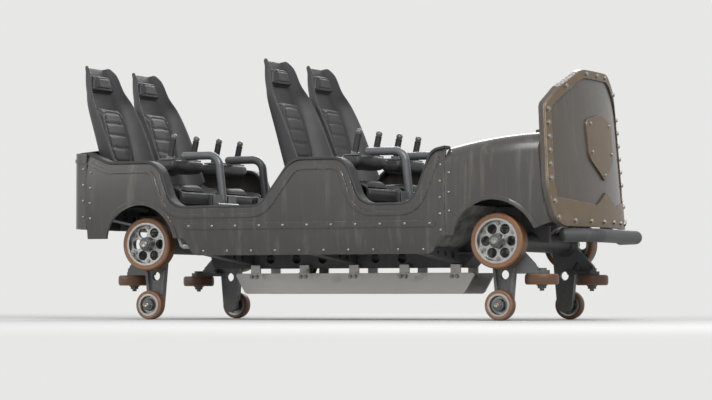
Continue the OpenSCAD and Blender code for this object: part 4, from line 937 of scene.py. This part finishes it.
beyond = np.zeros_like(inner)
beyond[0], beyond[-1] = unit(inner[0] - inner[1]), unit(inner[-1] - inner[-2])
beyond[:, 0], beyond[:, -1] = unit(inner[:, 0] - inner[:, 1]), unit(inner[:, -1] - inner[:, -2])
middle, half = (around(inner) + around(outer)) / 2, (around(inner) - around(outer)) / 2
rim = [middle + half * math.cos(turn) + around(beyond) * shell_t / 2 * math.sin(turn)
       for turn in np.linspace(0, math.pi, 6)[1:-1]]
loop = around(index)
rings = [loop] + [2 * index.size + k * len(loop) + np.arange(len(loop)) for k in range(4)] + [index.size + loop]
shell_faces = grid_faces(*index.shape)
shell_faces += [[index.size + k for k in face[::-1]] for face in shell_faces]
for ring, following in zip(rings[:-1], rings[1:]):
    shell_faces += np.stack([ring, following, np.roll(following, -1), np.roll(ring, -1)], 1).tolist()
shell_points = np.concatenate([inner.reshape(-1, 3), outer.reshape(-1, 3), *rim])
for row in rows:
    for side, s in sides.items():
        shell = outward(piece(f"bucket_{row}_{side}", shell_points + (seat_x[row], s * seat_y, 0), shell_faces, "root",
                              "shell_plastic", shell_plastic.material))
        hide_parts(f"seat_shell_{row}_{side}")


# Seat fixings
# Bolts with washers that hold each shell to its two rails, and a black plug in each end of the
# tube that ties a row's rails together.
rail_section, rail_normal = seat_sections(3, 9, 121)      # the rows of the seat's table that the rails follow
rail_back = rail_section[:, :2] - (shell_t + 0.028) * rail_normal
tie = rail_section[-1, :2] - 0.034 * rail_normal[-1]
plug = [(0.0130, -0.003), (0.0168, -0.001), (0.0172, 0.003), (0.0140, 0.0075), (0.0060, 0.0095)]
for row in rows:
    heads = []
    plugs = []
    for s in (1, -1):
        for k in (10, 85, 100, 115):
            for e in (0.040, -0.040):
                spot = (seat_x[row] + rail_back[k, 0], s * seat_y + e, rail_back[k, 1])
                heads.append(bolt(spot, (-rail_normal[k, 0], 0, -rail_normal[k, 1]), 0.017))
        plugs.append(turned(plug, (seat_x[row] + tie[0], s * 0.357, tie[1]), (0, s, 0), 28))
    fixings(f"seat_bolts_{row}", heads)
    piece(f"tie_plugs_{row}", *joined(plugs), "root", "shell_plastic", shell_plastic.material)


# Seat pads
# A seat, back and head pad in each bucket, 38 to 48 mm thick, in black vinyl with a fine leather
# grain, sewn channels and welted edges. Each is a crowned closed form that cloth pressure fills.
vinyl = Finish("vinyl", (0.020, 0.020, 0.022), 0.42)
creases_and_painted_shade = vinyl.noise(36.0, 6.0, 0.7)
# The vinyl's colour follows the crease noise that also drives its bump: darker in the hollows and lighter on the
# rises, which is painted shade in the creases over the vinyl's own black.
vinyl.set(colour=vinyl.mix(creases_and_painted_shade, (0.014, 0.014, 0.0155, 1), (0.034, 0.033, 0.034, 1)),
          roughness=0.44 + creases_and_painted_shade * 0.14 - vinyl.noise(6.0).above(0.4, 0.7) * 0.1)
vinyl.bump(vinyl.cells(640.0) * 0.7 + creases_and_painted_shade * 0.5, 0.0007, 0.55)


def squircle(u, v):
    """Points of a square moved in so that its corners are round: its rings become |u|^7 + |v|^7 = constant."""
    most = np.maximum(np.abs(u), np.abs(v))
    factor = most / np.maximum((np.abs(u) ** 7 + np.abs(v) ** 7) ** (1 / 7), 1e-9)
    return u * factor, v * factor


def seat_surface(first, last, trim):
    """The shell between two rows of its table, as a surface for u along and v across, less trim at each edge."""
    section, normal = seat_sections(first, last, 241)

    def surface(u, v, lift):
        u, v = squircle(u, v)
        at = (u + 1) * 120
        low = np.clip(at.astype(int), 0, 239)
        f = (at - low)[..., None]
        x, z, half, bolster = np.moveaxis(section[low] * (1 - f) + section[low + 1] * f, -1, 0)
        out_x, out_z = np.moveaxis(normal[low] * (1 - f) + normal[low + 1] * f, -1, 0)
        y = v * (half - trim)
        lift = lift + bucket_height(y / half, bolster)
        return np.stack([x + out_x * lift, y, z + out_z * lift], -1)
    return surface


def pillow(count_u, count_v, surface, thickness):
    """A closed pad on surface(u, v, lift), u and v from -1 to 1: its top is crowned and meets its flat bottom at the
    edges. Returns its points, its faces, and each point's u, v and 1 on top or 0 below."""
    line_u, line_v = (0.55 * np.sin(t * math.pi / 2) + 0.45 * t
                      for t in (np.linspace(-1, 1, count_u), np.linspace(-1, 1, count_v)))
    u, v = np.meshgrid(line_u, line_v, indexing="ij")
    crown = ((1 - np.abs(u) ** 7) * (1 - np.abs(v) ** 7)) ** 0.32
    top = surface(u, v, 0.0035 + thickness * crown)
    low = surface(u, v, 0.0035 + 0 * crown)
    index = np.arange(u.size).reshape(u.shape)
    inside = (crown > 1e-6)
    below = index.copy()
    below[inside] = u.size + np.arange(inside.sum())
    points = np.concatenate([top.reshape(-1, 3), low[inside]])
    faces = grid_faces(count_u, count_v)
    faces += [[int(below.reshape(-1)[k]) for k in face[::-1]] for face in faces]
    where = np.stack([u, v, 0 * u + 1], -1)
    return points, faces, np.concatenate([where.reshape(-1, 3), where[inside] * (1, 1, 0)])


def inflated(points, faces, free, pressure, cap):
    """Points after cloth pressure has filled a pad: free is 0 at pinned ones, and none moves past cap."""
    mesh = bpy.data.meshes.new("inflating")
    mesh.from_pydata(points.tolist(), [], faces)
    thing = outward(place("inflating", mesh))
    thing.vertex_groups.new(name="held").add([int(k) for k in np.flatnonzero(free < 0.5)], 1.0, "REPLACE")
    cloth = thing.modifiers.new("cloth", "CLOTH")
    cloth.settings.vertex_group_mass = "held"
    cloth.settings.use_pressure = True
    cloth.settings.uniform_pressure_force = pressure
    cloth.settings.effector_weights.gravity = 0
    cloth.settings.quality = 4
    cloth.settings.tension_stiffness = 12
    cloth.settings.compression_stiffness = 12
    cloth.settings.bending_stiffness = 0.8
    cloth.collision_settings.use_self_collision = False
    for number in range(1, 15):
        bpy.context.scene.frame_set(number)
    moved = np.empty(len(points) * 3)
    thing.evaluated_get(bpy.context.evaluated_depsgraph_get()).data.vertices.foreach_get("co", moved)
    bpy.context.scene.frame_set(1)
    bpy.data.objects.remove(thing)
    bpy.data.meshes.remove(mesh)
    step = moved.reshape(-1, 3) - points
    length = np.linalg.norm(step, axis=1)[:, None]
    return points + step * np.minimum(1.0, cap / np.maximum(length, 1e-9))


def sewn(points, where, surface, distance, depth=0.0055, width=0.0075):
    """Points of a pad's top sunk towards the surface it lies on, along seams at this distance from each point."""
    inside = surface(where[:, 0], where[:, 1], 0 * where[:, 0]) - points
    pull = depth * np.exp(-(distance / width) ** 2) * where[:, 2] * (1 - np.abs(where[:, :2]).max(1) ** 16)
    return points + unit(inside + 1e-9) * pull[:, None]


def pad_seams(name, u, v):
    """Distance in metres to a pad's nearest seam: an inner panel's outline, and channels across the back."""
    if name == "head_pad":
        return 0.055 * np.abs(np.maximum(np.abs(u) / 0.62, np.abs(v) / 0.74) - 1)
    panel = 0.12 * np.abs((np.abs(u / 0.76) ** 6 + np.abs(v / 0.66) ** 6) ** (1 / 6) - 1)
    if name == "seat_pad":
        channels = 0.17 * np.abs(np.abs(v) - 0.22) + 0.17 * np.maximum(np.abs(u) - 0.74, 0)
    else:
        channels = (0.19 * np.min([np.abs(u - k) for k in (-0.38, 0.0, 0.38)], axis=0)
                    + 0.17 * np.maximum(np.abs(v) - 0.64, 0))
    return np.minimum(panel, channels)


edge_turn = np.linspace(0, 2 * math.pi, 241)
edge_u = np.cos(edge_turn) / np.maximum(np.abs(np.cos(edge_turn)), np.abs(np.sin(edge_turn)))
edge_v = np.sin(edge_turn) / np.maximum(np.abs(np.cos(edge_turn)), np.abs(np.sin(edge_turn)))
pads = []
for name, first_row, last_row, trim, thickness, count_u, count_v in (
        ("seat_pad", 2, 4, 0.078, 0.040, 72, 76), ("back_pad", 7, 9, 0.078, 0.038, 76, 72),
        ("head_pad", 10, 11, 0.060, 0.031, 36, 52)):
    surface = seat_surface(first_row, last_row, trim)
    points, faces, where = pillow(count_u, count_v, surface, thickness)
    points = inflated(points, faces, where[:, 2], 2.2, 0.005)
    points = sewn(points, where, surface, pad_seams(name, where[:, 0], where[:, 1]))
    pads.append((name, points, faces, surface(edge_u * 0.994, edge_v * 0.994, 0.0085 + 0 * edge_u)))
for row in rows:
    for side, s in sides.items():
        shift = (seat_x[row], s * seat_y, 0)
        for name, points, faces, welt in pads:
            pad = outward(piece(f"{name}_{row}_{side}", points + shift, faces, "root", "pad_skin",
                                vinyl.material))
            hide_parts(f"seat_pads_{row}")
            piece(f"{name}_welt_{row}_{side}", *tube(welt + shift, 0.0032, 8), "root", "pad_skin",
                  vinyl.material)


# Lap bars
# A bent tube up between the knees with a lap plate, two upright grips and a cross tube for the
# shin plates, powder coated mid grey, with black ribbed rubber sleeves on the grips.
bar_paint = Finish("bar_paint", (0.105, 0.107, 0.112), 0.38, coat=0.3)
peel = bar_paint.noise(240.0, 2.0)
wear = bar_paint.edges(0.004) * bar_paint.noise(30.0, 5.0, 0.7).above(0.48, 0.6)
powder = bar_paint.mix(bar_paint.noise(9.0), (0.090, 0.092, 0.097, 1), (0.125, 0.127, 0.132, 1))
bar_paint.set(colour=bar_paint.mix(wear, powder, bare_steel), metallic=wear * 0.8, roughness=0.34 + peel * 0.12)
bar_paint.bump(peel, 0.0004, 0.4, round_edges=0.002)
plate_z = 0.946                   # top of a lap plate
grip_up = np.array([math.sin(math.radians(12)), 0, math.cos(math.radians(12))])
sleeve = [(0.0155, 0.018), (0.0195, 0.019)]
for k in range(11):
    sleeve += [(0.0195, 0.0215 + 0.0085 * k), (0.0178, 0.0240 + 0.0085 * k), (0.0178, 0.0260 + 0.0085 * k)]
sleeve += [(0.0195, 0.1135), (0.0195, 0.1180), (0.0155, 0.1190)]
for row in rows:
    for side, s in sides.items():
        body = f"restraint_{row}_{side}"
        dress(bar_paint.material, f"lap_bar_{row}_{side}")
        sleeves = []
        pins = []
        for e in (1, -1):
            foot = (seat_x[row] - 0.092, s * seat_y + e * 0.138, plate_z - 0.002)
            sleeves.append(turned(sleeve, foot, grip_up, 28))
            pins.append(bolt((seat_x[row] + pivot[0], s * seat_y + e * 0.0600, pivot[1]), (0, e, 0), 0.024))
        piece(f"grips_{row}_{side}", *joined(sleeves), body, "pad_skin", rubber.material)
        fixings(f"pivot_bolts_{row}_{side}", pins, body)


# Lap and shin pads
# A thick roll under each lap plate, 400 mm wide, and a pad before each shin, in the seats' vinyl.
# The CAD's outlines are swept with round ends and filled by cloth pressure.
def evenly(points, count):
    """A closed line resampled to count points of equal spacing."""
    loop = np.concatenate([points, points[:1]])
    length = np.concatenate([[0], np.cumsum(np.linalg.norm(np.diff(loop, axis=0), axis=1))])
    at = np.linspace(0, length[-1], count, endpoint=False)
    return np.stack([np.interp(at, length, loop[:, k]) for k in range(2)], 1)


def roll(outline, half, count_u):
    """An outline in X and Z swept across from -half to half, with round ends. Returns points, faces and shares."""
    share = np.linspace(-1, 1, count_u)
    share = 0.45 * share + 0.55 * np.sin(share * math.pi / 2)
    size = np.maximum((1 - np.abs(share) ** 8) ** 0.22, 0.04)
    flat = outline.mean(0) + size[:, None, None] * (outline - outline.mean(0))
    across = np.broadcast_to(share[:, None] * half, flat.shape[:2])
    count_v = len(outline)
    last = (count_u - 1) * count_v
    faces = grid_faces(count_u, count_v, closed=True)
    faces += [list(range(count_v))[::-1], list(range(last, last + count_v))]
    points = np.stack([flat[..., 0], across, flat[..., 1]], -1).reshape(-1, 3)
    return points, faces, np.repeat(share, count_v)


plate_low = plate_z - 0.008
shin_x, shin_z = pivot[0] + 0.092, pivot[1] + 0.150
lap_outline = evenly(rounded_outline([
    (-0.172, plate_low - 0.001, 0.012), (-0.034, plate_low - 0.001, 0.012), (-0.027, plate_low - 0.043, 0.030),
    (-0.060, plate_low - 0.075, 0.030), (-0.150, plate_low - 0.075, 0.034), (-0.179, plate_low - 0.039, 0.024)]), 72)
shin_outline = evenly(rounded_outline([
    (shin_x - 0.0475, shin_z + 0.064, 0.006), (shin_x - 0.0415, shin_z - 0.064, 0.006),
    (shin_x - 0.076, shin_z - 0.064, 0.016), (shin_x - 0.082, shin_z + 0.064, 0.016)]), 60)
lap_points, lap_faces, lap_share = roll(lap_outline, 0.197, 96)
shin_points, shin_faces, _ = roll(shin_outline, 0.056, 40)
lap_free = 1.0 * (lap_points[:, 2] < plate_low - 0.006)
lap_points = inflated(lap_points, lap_faces, lap_free, 1.6, 0.003)
shin_points = inflated(shin_points, shin_faces, 1.0 * (shin_points[:, 0] < shin_x - 0.052), 1.6, 0.002)
inward = (lap_points.mean(0) - lap_points) * (1, 0, 1)
seam = np.minimum(np.abs(lap_share - 0.86), np.abs(lap_share + 0.86)) * 0.197
lap_points = lap_points + unit(inward + 1e-9) * (0.004 * np.exp(-(seam / 0.0045) ** 2) * lap_free)[:, None]
for row in rows:
    for side, s in sides.items():
        shift = np.array([seat_x[row], s * seat_y, 0])
        soft = [(f"lap_roll_{row}_{side}", lap_points + shift, lap_faces)]
        soft += [(f"shin_pad_{row}_{side}_{inner_or_outer}", shin_points + shift + (0, s * y, 0), shin_faces)
                 for inner_or_outer, y in (("inner", -0.092), ("outer", 0.092))]
        for name, points, faces in soft:
            pad = outward(piece(name, points, faces, f"restraint_{row}_{side}", "pad_skin", vinyl.material))
            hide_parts(f"lap_pads_{row}_{side}")
